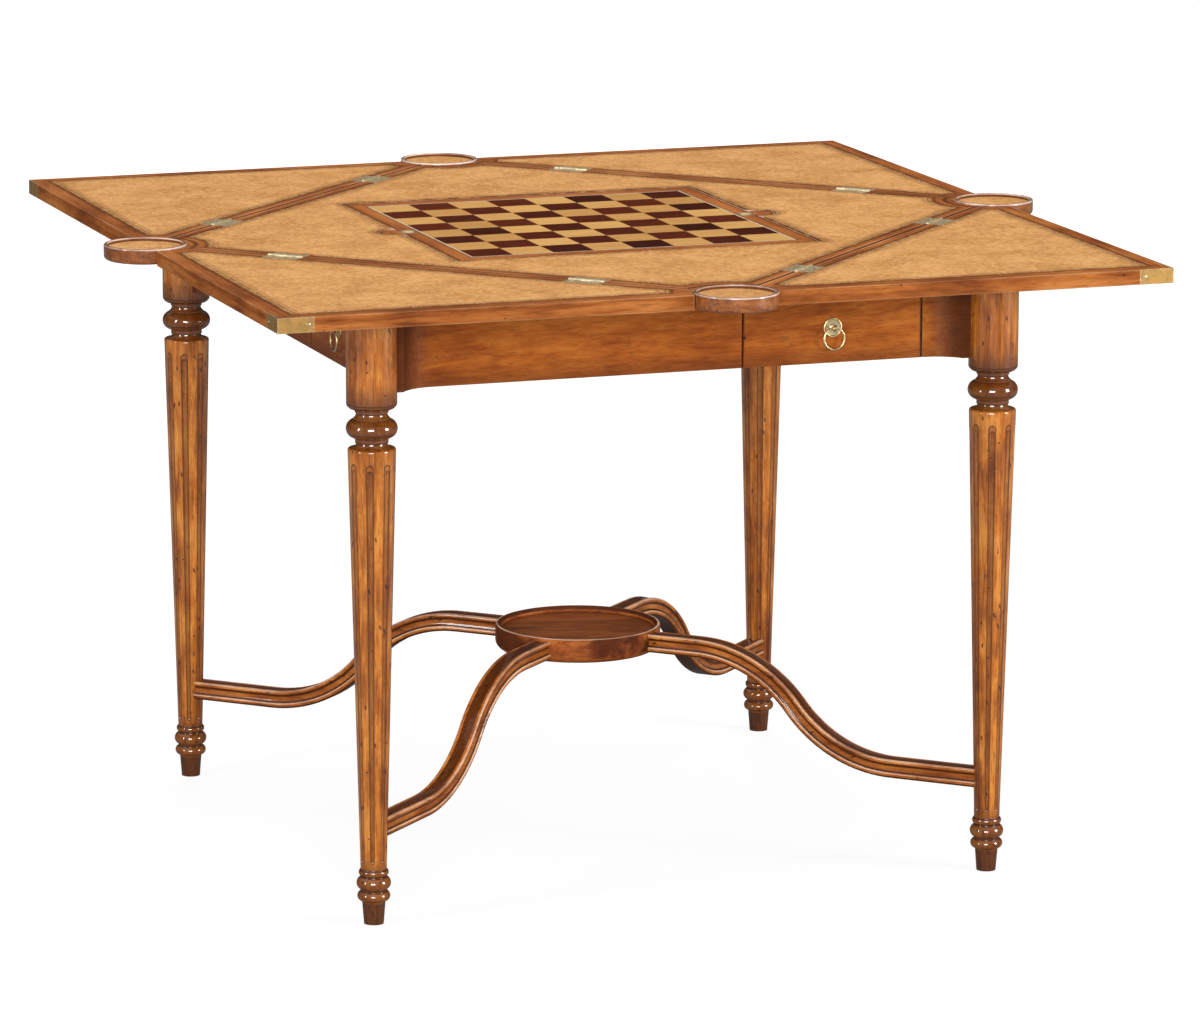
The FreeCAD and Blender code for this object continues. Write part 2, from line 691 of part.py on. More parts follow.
def well_and_swivel():
    outer = well_half + well_wall
    floor_top = well_low + well_floor
    walls = block((-outer, outer), (-outer, outer), (floor_top, top_low))
    walls = walls.cut(block((-well_half, well_half), (-well_half, well_half), (floor_top, top_low)))
    floor = block((-outer, outer), (-outer, outer), (well_low, floor_top))
    save("board_well", walls, floor)
    bolt = bolt_diameter / 2
    plate = disc(swivel_plate_diameter / 2, plate_low, well_low)
    plate = plate.cut(disc(bolt + glue_gap, plate_low - overrun, well_low + overrun))
    shank = disc(bolt, nut_low, well_low)
    bore = disc(bolt + glue_gap, nut_low - overrun, washer_top + overrun)
    washer = disc(washer_diameter / 2, nut_top, washer_top).cut(bore)
    corner = nut_width / 2 / cos(radians(180 / nut_sides))
    turn = radians(360 / nut_sides)
    outline = arc_points((0, 0), corner, [turn * n for n in range(nut_sides)])
    nut = prism(outline, nut_low, nut_top).cut(bore)
    save("swivel_pivot", plate, shank, washer, nut)


def board():
    border = raised(board_edges(0), board_low, board_top)
    veneer_low = board_top - veneer_thickness
    veneer = (veneer_low, board_top)
    string_half = squares_half + stringing_width
    field = block((-string_half, string_half), (-string_half, string_half), veneer)
    inlay = block((-squares_half, squares_half), (-squares_half, squares_half), veneer)
    thumb_x = string_half + (board_border + lobe_reach) / 4
    thumb = thumb_diameter / 2
    hollow = thumb - thumb_rim
    hollow_floor = thumb_base - thumb_depth
    cup = turned([
        (0, -thumb_depth),
        (thumb, -thumb_depth),
        (thumb, 0),
        (hollow, 0),
        (hollow * thumb_floor_share, hollow_floor),
        (0, hollow_floor)])
    pocket = disc(thumb + glue_gap, board_top - thumb_depth, table_height)
    pockets = [moved(pocket, side * thumb_x, 0) for side in (-1, 1)]
    save("board_panel", border.cut([field] + pockets))
    save("board_stringing", field.cut(inlay))
    save("thumb_pulls", *[moved(cup, side * thumb_x, 0, board_top) for side in (-1, 1)])
    shades = ([], [])
    for column in range(square_count):
        for row in range(square_count):
            x = column * square_size - squares_half
            y = row * square_size - squares_half
            shades[(column + row) % 2].append(block((x, x + square_size), (y, y + square_size), veneer))
    save("dark_squares", *shades[0])
    save("light_squares", *shades[1])


os.makedirs("parts", exist_ok=True)
legs()
aprons()
drawer_carcase()
drawers()
drawer_pulls()
underframe()
centre(leaves(), cups())
well_and_swivel()
board()
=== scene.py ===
import json
from math import asin, atan2, cos, pi, radians, sin, sqrt
import bpy
from mathutils import Matrix, Vector

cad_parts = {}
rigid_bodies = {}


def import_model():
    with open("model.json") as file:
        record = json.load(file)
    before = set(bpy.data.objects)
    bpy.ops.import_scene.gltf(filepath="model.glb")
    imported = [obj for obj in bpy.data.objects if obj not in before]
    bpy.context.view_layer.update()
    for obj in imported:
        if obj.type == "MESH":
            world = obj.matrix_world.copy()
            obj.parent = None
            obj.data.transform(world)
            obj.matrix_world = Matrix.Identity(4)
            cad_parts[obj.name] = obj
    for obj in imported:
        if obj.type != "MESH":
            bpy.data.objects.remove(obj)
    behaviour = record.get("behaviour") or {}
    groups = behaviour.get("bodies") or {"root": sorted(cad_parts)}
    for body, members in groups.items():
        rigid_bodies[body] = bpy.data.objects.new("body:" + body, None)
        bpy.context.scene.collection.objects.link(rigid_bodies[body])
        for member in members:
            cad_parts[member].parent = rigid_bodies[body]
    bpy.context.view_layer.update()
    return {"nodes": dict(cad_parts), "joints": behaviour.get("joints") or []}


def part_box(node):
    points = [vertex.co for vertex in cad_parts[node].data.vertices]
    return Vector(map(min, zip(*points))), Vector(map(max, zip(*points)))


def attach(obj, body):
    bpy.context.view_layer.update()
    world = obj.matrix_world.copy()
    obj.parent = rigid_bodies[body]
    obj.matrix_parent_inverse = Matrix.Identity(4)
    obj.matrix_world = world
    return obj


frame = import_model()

# Envelope-top games table, open for play. Metres, z up, the front is -y.
nodes = frame["nodes"]
joints = {joint["name"]: joint for joint in frame["joints"]}
sideNames = ("front", "right", "back", "left")
cornerNames = ("front_left", "front_right", "back_right", "back_left")
mm = 0.001
diagonal = sqrt(0.5)  # x or y of a unit step at 45 degrees

# places read from the frame
hingeLine = Vector(joints["leaf_front_left_fold"]["pos_m"][:2]).length  # middle of the top to a fold
cupReach = hingeLine * sqrt(2)                                          # middle of the top to a cup
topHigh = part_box("leaf_leather_front_left")[1].z
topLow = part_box("leaf_panel_front_left")[0].z
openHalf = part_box("leaf_panel_front_right")[1].x
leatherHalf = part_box("leaf_leather_front_right")[1].x
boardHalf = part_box("board_panel")[1].y
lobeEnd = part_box("board_panel")[1].x
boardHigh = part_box("board_panel")[1].z
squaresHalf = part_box("dark_squares")[1].x
squareSide = squaresHalf / 4
legMiddle = sum(corner.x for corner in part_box("leg_front_right")) / 2
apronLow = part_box("apron_front")[0].z
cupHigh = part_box("cup_dishes")[1].z
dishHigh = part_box("stretcher_dish")[1].z
drawerEnds = [corner.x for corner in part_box("drawer_front_front")]
print("frame read, top at", round(topHigh, 4))


# Camera, solved from the feet, the corners of the top and the cups
photoView = {"place": (-2.7018, -7.7265, 2.0527), "forward": (0.3266, 0.9240, -0.1987),
             "roll": 0.141, "focal": 6696.7, "imageWidth": 1200, "sensor": 36.0, "farClip": 200}


def makeCamera(view):
    lens = bpy.data.cameras.new("photoCamera")
    lens.sensor_width = view["sensor"]
    lens.lens = view["focal"] * view["sensor"] / view["imageWidth"]
    lens.clip_end = view["farClip"]
    camera = bpy.data.objects.new("photoCamera", lens)
    bpy.context.scene.collection.objects.link(camera)
    forward = Vector(view["forward"]).normalized()
    right = forward.cross(Vector((0, 0, 1))).normalized()
    up = right.cross(forward)
    c, s = cos(radians(view["roll"])), sin(radians(view["roll"]))
    across = c * right + s * up
    upward = c * up - s * right
    turn = Matrix((across, upward, -forward)).transposed()
    camera.matrix_world = Matrix.Translation(view["place"]) @ turn.to_4x4()
    bpy.context.scene.camera = camera


makeCamera(photoView)


def operator(operation, flipped=False):
    def apply(wire, other):
        return wire.maths(operation, *((other, wire) if flipped else (wire, other)))
    return apply


# One wrapped socket: operators add Math nodes, node() adds any other node
class Wire:
    __add__ = operator("ADD")
    __radd__ = operator("ADD", True)
    __sub__ = operator("SUBTRACT")
    __rsub__ = operator("SUBTRACT", True)
    __mul__ = operator("MULTIPLY")
    __rmul__ = operator("MULTIPLY", True)
    __truediv__ = operator("DIVIDE")
    __pow__ = operator("POWER")
    __lt__ = operator("LESS_THAN")
    __gt__ = operator("GREATER_THAN")
    least = operator("MINIMUM")
    most = operator("MAXIMUM")

    def __init__(self, tree, socket=None):
        self.tree = tree
        self.socket = socket

    def node(self, kind, settings=None, sockets=None, out=0):
        made = self.tree.nodes.new(kind)
        for name, value in (settings or {}).items():
            setattr(made, name, value)
        for name, value in (sockets or {}).items():
            if isinstance(value, Wire):
                self.tree.links.new(value.socket, made.inputs[name])
            else:
                made.inputs[name].default_value = value
        return Wire(self.tree, made.outputs[out] if made.outputs else None)

    def maths(self, operation, *values):
        return self.node("ShaderNodeMath", {"operation": operation}, dict(enumerate(values)))

    def __abs__(self):
        return self.maths("ABSOLUTE", self)

    def floor(self):
        return self.maths("FLOOR", self)

    def ease(self, low, high):
        return self.node("ShaderNodeMapRange", {"interpolation_type": "SMOOTHSTEP"},
                         {"Value": self, "From Min": low, "From Max": high})

    def within(self, half, core=0.5):
        # for a distance: 1 in the core share of half, 0 past half
        return 1 - self.ease(half * core, half)


finishes = {}


def newFinish(name):
    material = bpy.data.materials.new(name)
    material.use_nodes = True
    material.node_tree.nodes.clear()
    finishes[name] = material
    return Wire(material.node_tree)


def strongest(first, *others):
    for other in others:
        first = first.most(other)
    return first


def length(first, second):
    return (first ** 2 + second ** 2) ** 0.5


def rgb(red, green, blue):
    return (red, green, blue, 1)


def grey(level):
    return rgb(level, level, level)


def mixColour(wire, share, first, second):
    return wire.node("ShaderNodeMix", {"data_type": "RGBA"}, {0: share, 6: first, 7: second}, 2)


def ramped(wire, tone, colours):
    # evenly from the first colour to the last
    mixed = wire.node("ShaderNodeValToRGB", None, {"Fac": tone})
    elements = mixed.socket.node.color_ramp.elements
    for n, colour in enumerate(colours):
        place = n / (len(colours) - 1)
        stop = elements[n] if n < len(elements) else elements.new(place)
        stop.position = place
        stop.color = colour
    return mixed


def mixVector(wire, share, first, second):
    return wire.node("ShaderNodeMix", {"data_type": "VECTOR"}, {0: share, 4: first, 5: second}, 1)


def scaled(wire, vector, factors):
    return wire.node("ShaderNodeVectorMath", {"operation": "MULTIPLY"}, {0: vector, 1: factors})


noiseMiddle = 0.5


def noise(wire, vector, rate, detail, rough, twist=0.0):
    return wire.node("ShaderNodeTexNoise", None, {"Vector": vector, "Scale": rate, "Detail": detail,
                                                  "Roughness": rough, "Distortion": twist})


def objectPlace(wire, turn=(0, 0, 0)):
    place = wire.node("ShaderNodeTexCoord", out="Object")
    return wire.node("ShaderNodeMapping", None, {"Vector": place, "Rotation": turn})


def split(wire, vector):
    parts = wire.node("ShaderNodeSeparateXYZ", None, {"Vector": vector}).socket.node
    return [Wire(wire.tree, socket) for socket in parts.outputs]


def joined(wire, x, y, z):
    return wire.node("ShaderNodeCombineXYZ", None, {"X": x, "Y": y, "Z": z})


# Crevices take glaze and painted shade, and arrises are rubbed pale with painted highlight; each start is a
# share of its full value
shadeAndWear = {"samples": 6, "creviceFull": 0.46, "creviceStart": 0.13, "ridgeFull": 0.55, "ridgeStart": 0.25}


def closeness(wire, reach, inside):
    settings = {"samples": shadeAndWear["samples"], "only_local": True, "inside": inside}
    return 1 - wire.node("ShaderNodeAmbientOcclusion", settings, {"Distance": reach}, "AO")


def crevice(wire, reach, full=shadeAndWear["creviceFull"]):
    # 1 in tight corners and grooves of the same piece, 0 in the open; glaze and painted shade go here
    return closeness(wire, reach, False).ease(full * shadeAndWear["creviceStart"], full)


def ridge(wire, reach, full=shadeAndWear["ridgeFull"]):
    # 1 on arrises and beads of the same piece, 0 on flat and hollow faces; wear and painted highlight go
    # here
    return closeness(wire, reach, True).ease(full * shadeAndWear["ridgeStart"], full)


# What a finish has where its own look says nothing
plainLook = {"bump": 0.3, "bumpDepth": 0.5 * mm, "edge": 1.0 * mm, "edgeSamples": 4, "metallic": 0.0,
             "coat": 0.0, "coatRough": 0.15, "coatIndex": 1.5, "specular": 0.5}


def shade(wire, ownLook, colour, roughness, height):
    look = {**plainLook, **ownLook}
    softened = wire.node("ShaderNodeBevel", {"samples": look["edgeSamples"]}, {"Radius": look["edge"]})
    normal = wire.node("ShaderNodeBump", None, {"Strength": look["bump"], "Distance": look["bumpDepth"],
                                                "Height": height, "Normal": softened})
    body = wire.node("ShaderNodeBsdfPrincipled", None, {
        "Base Color": colour, "Roughness": roughness, "Metallic": look["metallic"], "Normal": normal,
        "Coat Weight": look["coat"], "Coat Roughness": look["coatRough"], "Coat IOR": look["coatIndex"],
        "Specular IOR Level": look["specular"]})
    wire.node("ShaderNodeOutputMaterial", None, {"Surface": body})


# Marks of age: rate is cells to a metre, size a share of a cell, share how many cells have one
def markKind(rate, size, share, turn=(0, 0, 0), shape=(1, 1, 1)):
    return {"rate": rate, "size": size, "share": share, "turn": turn, "shape": shape}


wormHoles = markKind(60, 0.10, 0.5)
shortDents = markKind(44, 0.17, 0.8, (0.1, 0.25, 0.3), (0.55, 2.6, 2.6))
fineNicks = markKind(48, 0.06, 0.35, (1.1, 0.2, 0.7), (1.8, 1.8, 0.6))
markCore = 0.55


def distress(wire, place, kinds):
    spots = []
    for kind in kinds:
        aimed = wire.node("ShaderNodeMapping", None, {"Vector": place, "Rotation": kind["turn"]})
        cells = wire.node("ShaderNodeTexVoronoi", None,
                          {"Vector": scaled(wire, aimed, kind["shape"]), "Scale": kind["rate"]})
        pick = wire.node("ShaderNodeSeparateColor", None,
                         {"Color": Wire(wire.tree, cells.socket.node.outputs["Color"])})
        spots.append(cells.within(kind["size"], markCore) * (pick < kind["share"]))
    return strongest(*spots)


# Antiqued walnut. The grain runs along x of the place that it is given; the stain mask adds dark glaze
# and painted shade, and the pale mask adds painted highlight in the worn colour. Crevices take glaze
# and painted shade; arrises are rubbed pale, partly as painted highlight. A noise here is its detail,
# roughness and twist.
grain = {"streak": (5, 0.6, 0.5), "fibre": (3, 0.65), "cloud": (5, 0.62, 0.3),
         "fibreRate": 2.7, "cloudStretch": 0.5,
         "streakShare": 0.32, "cloudShare": 0.40, "fibreShare": 0.28,
         "poreRange": (0.55, 0.68), "markGlaze": 0.88,
         "darkBase": 0.62, "darkCloud": 0.5, "darkStreak": 0.8, "darkMost": 0.96,
         "paleBase": 0.35, "paleCloud": 0.65, "paleRange": (0.35, 0.6),
         "fibreDull": 0.2, "markDull": 0.2, "darkDull": 0.1,
         "streakHigh": 0.25, "fibreHigh": 0.4, "markDeep": 1.6}


def wood(wire, look, place, stainAndShade=None, paintedHighlight=None):
    along = scaled(wire, place, (look["stretch"], 1, 1))
    streak = noise(wire, along, look["streaks"], *grain["streak"])
    fibre = noise(wire, along, look["streaks"] * grain["fibreRate"], *grain["fibre"])
    squashed = scaled(wire, place, (grain["cloudStretch"], 1, 1))
    cloud = noise(wire, squashed, look["clouds"], *grain["cloud"])
    tone = streak * grain["streakShare"] + cloud * grain["cloudShare"] + fibre * grain["fibreShare"]
    tone = tone.ease(noiseMiddle - look["spread"], noiseMiddle + look["spread"])
    colour = ramped(wire, tone, look["ramp"])
    pores = fibre.ease(*grain["poreRange"]) * look["pores"]
    colour = mixColour(wire, pores, colour, look["glaze"])
    marks = distress(wire, place, look["marks"])
    colour = mixColour(wire, marks * grain["markGlaze"], colour, look["glaze"])
    # glaze and painted shade in crevices, and wherever the stain mask is dark
    dirtAndShade = crevice(wire, look["grimeAndShadeReach"], look["grimeAndShadeFull"]) * look["grimeAndShade"]
    if stainAndShade is not None:
        dirtAndShade = dirtAndShade.most(stainAndShade)
    patchy = grain["darkBase"] + cloud * grain["darkCloud"]
    dirtAndShade = dirtAndShade * (patchy + (streak - noiseMiddle) * grain["darkStreak"])
    colour = mixColour(wire, dirtAndShade.least(grain["darkMost"]), colour, look["glaze"])
    # arrises rubbed pale, partly painted highlight, and the painted highlight lines
    rubAndHighlight = ridge(wire, look["rubAndHighlightReach"], look["rubAndHighlightFull"]) * look["rubAndHighlight"]
    if paintedHighlight is not None:
        rubAndHighlight = rubAndHighlight.most(paintedHighlight)
    uneven = grain["paleBase"] + cloud.ease(*grain["paleRange"]) * grain["paleCloud"]
    rubAndHighlight = rubAndHighlight * (1 - dirtAndShade) * uneven
    colour = mixColour(wire, rubAndHighlight.most(0.0), colour, look["worn"])
    roughness = look["rough"] + (fibre - noiseMiddle) * grain["fibreDull"]
    roughness = roughness + marks * grain["markDull"] + dirtAndShade * grain["darkDull"]
    height = streak * grain["streakHigh"] + fibre * grain["fibreHigh"] - marks * grain["markDeep"]
    shade(wire, look, colour, roughness, height)


grainAlongX = (0, 0, 0)
grainAlongY = (0, 0, radians(-90))
grainUpright = (0, radians(90), 0)


def plainWood(name, look, turn, findStainAndShade=None, *choice):
    wire = newFinish(name)
    masks = findStainAndShade(wire, objectPlace(wire), *choice) if findStainAndShade else ()
    wood(wire, look, objectPlace(wire, turn), *masks)


def tones(dark, middle, pale):
    return (rgb(*dark), rgb(*middle), rgb(*pale))


# Legs: painted shade in the flutes and along their edges, and in lines at the steps of the turning and the
# foot; the turnings darker, and glaze on the feet. The steps are shares of the turning's and the foot's
# height.
legLook = {"ramp": tones((0.150, 0.032, 0.003), (0.470, 0.137, 0.015), (0.760, 0.305, 0.052)),
           "glaze": rgb(0.040, 0.008, 0.003), "worn": rgb(0.72, 0.36, 0.11),
           "rubAndHighlight": 0.4, "rubAndHighlightReach": 2.5 * mm, "rubAndHighlightFull": shadeAndWear["ridgeFull"],
           "stretch": 0.07, "streaks": 175, "clouds": 22, "pores": 0.6, "spread": 0.150,
           "marks": (wormHoles, shortDents, fineNicks),
           "grimeAndShade": 0.97, "grimeAndShadeReach": 6 * mm, "grimeAndShadeFull": 0.30,
           "rough": 0.34, "specular": 0.12, "coat": 0.9, "coatRough": 0.05, "coatIndex": 1.75,
           "bump": 0.30, "edge": 0.8 * mm}
legPlan = {"turningLow": 576.7 * mm, "columnLow": 626.2 * mm, "columnFade": 32 * mm, "turningDark": 0.74,
           "turningSteps": (0.09, 0.185, 0.30, 0.785, 0.93, 1.01), "footSteps": (0.43, 0.62, 0.87, 0.99),
           "stepHalf": 1.7 * mm, "stepCore": 0.25, "stepShade": 1.1,
           "topRadius": 28.5 * mm, "footRadius": 15.5 * mm, "fluteLow": 77.5 * mm, "fluteHigh": 552.7 * mm,
           "flutes": 8, "fluteHalf": 0.14, "fluteCore": 0.7, "fluteShade": 0.30,
           "lineHalf": 0.055, "lineCore": 0.3, "lineDark": 0.86,
           "footHigh": 66.5 * mm, "footFade": 5 * mm, "shaftFade": 20 * mm, "footGlaze": 0.66,
           "tipHigh": 30 * mm, "tipGlaze": 0.98}


def legShadeAndGlaze(wire, place):
    plan = legPlan
    x, y, z = split(wire, place)
    around = wire.maths("ARCTAN2", abs(y) - legMiddle, abs(x) - legMiddle)
    step = 2 * pi / plan["flutes"]
    off = abs(wire.maths("FRACT", around / step) - 0.5) * step
    taper = (plan["topRadius"] - plan["footRadius"]) / (plan["turningLow"] - plan["footHigh"])
    radius = (z - plan["footHigh"]) * taper + plan["footRadius"]
    past = (z - plan["fluteHigh"]).most(plan["fluteLow"] - z).most(0.0) / radius  # beyond the round ends
    reach = length(off, past)
    # painted shade along the edges of each flute and in its hollow
    lines = abs(reach - plan["fluteHalf"]).within(plan["lineHalf"], plan["lineCore"]) * plan["lineDark"]
    hollow = reach.within(plan["fluteHalf"], plan["fluteCore"]) * plan["fluteShade"]
    turning = z.ease(plan["turningLow"] - plan["footFade"], plan["turningLow"])
    column = z.ease(plan["columnLow"], plan["columnLow"] + plan["columnFade"])
    turning = turning * (1 - column) * plan["turningDark"]
    shaft = z.ease(plan["footHigh"] - plan["footFade"], plan["footHigh"] + plan["shaftFade"])
    foot = (1 - shaft) * plan["footGlaze"]
    tip = (1 - z.ease(plan["tipHigh"] - plan["footFade"], plan["tipHigh"])) * plan["tipGlaze"]
    turningTall = plan["columnLow"] - plan["turningLow"]
    levels = [plan["turningLow"] + share * turningTall for share in plan["turningSteps"]]
    levels += [share * plan["footHigh"] for share in plan["footSteps"]]
    fromStep = abs(z - levels[0])
    for level in levels[1:]:
        fromStep = fromStep.least(abs(z - level))
    # painted shade in a line at each step
    steps = fromStep.within(plan["stepHalf"], plan["stepCore"]) * plan["stepShade"]
    return [strongest(lines, hollow, turning, foot, tip, steps)]


plainWood("legWood", legLook, grainUpright, legShadeAndGlaze)


# Aprons and drawer fronts: painted shade towards the legs and beside the drawers' ends, and darker along
# the lower edge
apronLook = {**legLook, "ramp": tones((0.190, 0.040, 0.005), (0.345, 0.088, 0.011), (0.500, 0.155, 0.024)),
             "stretch": 0.16, "streaks": 95, "clouds": 12, "pores": 0.45,
             "marks": (markKind(14, 0.04, 0.35),
                       markKind(12, 0.055, 0.25, (0.5, 0.8, 0.3), (2.6, 2.6, 0.6))),
             "rough": 0.42, "coat": 0.12, "coatRough": 0.16, "coatIndex": 1.5, "bump": 0.2, "rubAndHighlight": 0.25}
apronPlan = {"endRange": (306 * mm, 354 * mm), "endShade": 0.9, "lowFade": 26 * mm,
             "lowDark": 0.45, "gapHalf": 2.6 * mm, "gapCore": 0.3, "gapShade": 0.97}


def apronShade(wire, place, alongX):
    plan = apronPlan
    x, y, z = split(wire, place)
    # painted shade towards the legs
    ends = abs(x).least(abs(y)).ease(*plan["endRange"]) * plan["endShade"]
    low = (1 - z.ease(apronLow, apronLow + plan["lowFade"])) * plan["lowDark"]
    run = x * ((y < 0) * 2 - 1) if alongX else y * ((x > 0) * 2 - 1)  # the same way round on each side
    # painted shade beside the gaps at the drawers' ends
    off = abs(run - drawerEnds[0]).least(abs(run - drawerEnds[1]))
    gaps = off.within(plan["gapHalf"], plan["gapCore"]) * plan["gapShade"]
    return [strongest(ends, low, gaps)]


plainWood("apronWoodX", apronLook, grainAlongX, apronShade, True)
plainWood("apronWoodY", apronLook, grainAlongY, apronShade, False)

# Bare wood of the drawer boxes and of what carries them
insideLook = {**apronLook, "ramp": tones((0.26, 0.14, 0.055), (0.42, 0.25, 0.105), (0.56, 0.36, 0.17)),
              "glaze": rgb(0.13, 0.065, 0.028), "worn": rgb(0.6, 0.42, 0.22), "coat": 0.0, "rough": 0.6,
              "grimeAndShade": 0.4, "marks": (fineNicks,)}
plainWood("drawerWood", insideLook, grainAlongX)


# Stretchers: painted shade in the hollow on top, in the quirks beside the beads and on the underside, and a
# thin painted highlight along the upper side of each bead. Facing is how far a face looks sideways, from 0
# to 1.
stretcherLook = {**legLook, "stretch": 0.10, "streaks": 110, "coat": 0.42, "coatIndex": 1.6,
                 "ramp": tones((0.160, 0.034, 0.004), (0.450, 0.122, 0.017), (0.700, 0.250, 0.046)),
                 "grimeAndShadeReach": 7 * mm, "grimeAndShadeFull": 0.22, "worn": rgb(0.86, 0.60, 0.42), "rubAndHighlight": 0.0}
armPlan = {"hollow": 7.5 * mm, "hollowRange": (6.45 * mm, 7.8 * mm), "hollowShade": 0.92,
           "quirk": 10.7 * mm, "quirkHalf": 1.2 * mm, "quirkCore": 0.3, "quirkShade": 1.1,
           "flankRange": (0.55, 0.8), "underRange": (-0.75, -0.35), "underShade": 1.1,
           "bead": 11.4 * mm, "paintedHighlight": 0.95, "upperFacing": 0.55, "lowerFacing": 0.80, "facingHalf": 0.16}


def armShadeAndHighlight(wire, place, lean):
    plan = armPlan
    x, y, z = split(wire, place)
    off = abs(x + y * lean) * diagonal
    nx, ny, nz = split(wire, wire.node("ShaderNodeTexCoord", out="Normal"))
    sideways = abs(nx + ny * lean) * diagonal
    hollow = (1 - off.ease(*plan["hollowRange"])) * plan["hollowShade"]
    under = (1 - nz.ease(*plan["underRange"])) * plan["underShade"]
    quirk = abs(off - plan["quirk"]).within(plan["quirkHalf"], plan["quirkCore"]) * plan["quirkShade"]
    quirk = quirk * sideways.ease(*plan["flankRange"])
    upper = abs(sideways - plan["upperFacing"]).within(plan["facingHalf"]) * (off > plan["hollow"])
    lower = abs(sideways - plan["lowerFacing"]).within(plan["facingHalf"]) * (off > plan["bead"])
    # shade painted in the hollow, the quirks and underneath; highlight painted on the upward faces of the
    # beads
    return [strongest(hollow, quirk, under), upper.most(lower) * (nz > 0) * plan["paintedHighlight"]]


plainWood("stretcherWoodA", stretcherLook, (0, 0, radians(-45)), armShadeAndHighlight, -1)
plainWood("stretcherWoodB", stretcherLook, (0, 0, radians(45)), armShadeAndHighlight, 1)


# The dish has a thin painted highlight on its rim with a line of painted shade inside it, and patches of
# glaze on its side
dishLook = {**legLook, "ramp": tones((0.100, 0.022, 0.006), (0.335, 0.083, 0.018), (0.560, 0.175, 0.034)),
            "stretch": 0.10, "streaks": 95, "marks": (fineNicks,), "grimeAndShadeReach": 4 * mm,
            "coat": 0.0, "rough": 0.52, "specular": 0.1, "edge": 1.2 * mm,
            "worn": rgb(0.90, 0.70, 0.55), "rubAndHighlight": 0.0}
dishPlan = {"sideRange": (101.5 * mm, 103 * mm), "sideGlaze": 0.9,
            "patches": (17, 3, 0.5), "patchRange": (0.40, 0.56), "rimDeep": 9 * mm,
            "inner": 98 * mm, "innerHalf": 1.8 * mm, "innerShade": 0.95,
            "rim": 101.2 * mm, "rimHalf": 1.3 * mm, "rimHighlight": 0.9, "grainTurn": 12}


def dishGlazeShadeAndHighlight(wire, place):
    plan = dishPlan
    x, y, z = split(wire, place)
    out = length(x, y)
    patch = noise(wire, place, *plan["patches"]).ease(*plan["patchRange"])
    high = z > dishHigh - plan["rimDeep"]
    side = out.ease(*plan["sideRange"]) * patch * plan["sideGlaze"]
    inner = abs(out - plan["inner"]).within(plan["innerHalf"]) * plan["innerShade"]
    rim = abs(out - plan["rim"]).within(plan["rimHalf"]) * plan["rimHighlight"]
    # near the top: painted shade inside the rim and a painted highlight on it
    return [side.most(inner * high), rim * high]


plainWood("dishWood", dishLook, (0, 0, radians(dishPlan["grainTurn"])), dishGlazeShadeAndHighlight)
plainWood("groove", dishLook, grainAlongX)  # dark slots of the screws


def cupDistance(ax, ay):
    # to the middle of the nearest cup, from |x| and |y|
    return length(ax.most(ay) - cupReach, ax.least(ay))


# Cups: painted highlight lines on both arrises of the rim, painted shade on the inside of the rim
cupLook = {**legLook, "ramp": tones((0.120, 0.030, 0.008), (0.290, 0.090, 0.022), (0.460, 0.170, 0.042)),
           "marks": (fineNicks,), "coatRough": 0.06, "rough": 0.24, "grimeAndShade": 0.6,
           "edge": 1.6 * mm, "worn": rgb(0.82, 0.68, 0.62), "rubAndHighlight": 0.2}
cupPlan = {"outer": 49.6 * mm, "inner": 46.9 * mm, "half": 0.9 * mm, "deep": 2.2 * mm, "paintedHighlight": 0.85,
           "insideShade": 0.8}


def cupShadeAndHighlight(wire, place):
    plan = cupPlan
    x, y, z = split(wire, place)
    toCup = cupDistance(abs(x), abs(y))
    off = abs(toCup - plan["outer"]).least(abs(toCup - plan["inner"]))
    high = z.ease(cupHigh - plan["deep"], cupHigh - plan["deep"] / 2)
    inside = 1 - toCup.ease(plan["inner"], plan["inner"] + plan["half"])
    # painted shade inside the rim, painted highlight on its arrises
    return [inside * (1 - high) * plan["insideShade"], off.within(plan["half"]) * high * plan["paintedHighlight"]]


plainWood("cupWood", cupLook, grainAlongX, cupShadeAndHighlight)


# Edges of the hides on the top; inset is the distance from the edge, more than 0 on the hide
topPlan = {"hingeBorder": 16 * mm, "cupBand": 26 * mm, "cupHole": 50.25 * mm, "cupHide": 46.6 * mm,
           "cupPale": 15 * mm, "boardGap": 0.5 * mm, "lobeNose": 20 * mm, "lobeHollow": 25 * mm}
bandReach = topPlan["cupHole"] + topPlan["cupBand"]
noseX = lobeEnd - topPlan["lobeNose"]


def leafInset(wire, place):
    x, y, z = split(wire, place)
    ax, ay = abs(x), abs(y)
    fromFold = (ax + ay) * diagonal - (hingeLine + topPlan["hingeBorder"])
    fromCup = cupDistance(ax, ay) - bandReach
    return (leatherHalf - ax.most(ay)).least(fromFold).least(fromCup)


def centreInset(wire, place):
    x, y, z = split(wire, place)
    ax, ay = abs(x), abs(y)
    toCup = cupDistance(ax, ay)
    fromFold = (hingeLine - topPlan["hingeBorder"]) - (ax + ay) * diagonal
    fromBoard = ax.most(ay) - (boardHalf + topPlan["boardGap"])
    fromLobe = length(ax - noseX, ay) - topPlan["lobeNose"]
    inField = fromFold.least(toCup - bandReach).least(fromBoard).least(fromLobe)
    inCup = topPlan["cupHide"] + topPlan["cupPale"] - toCup
    return inField.most(inCup)


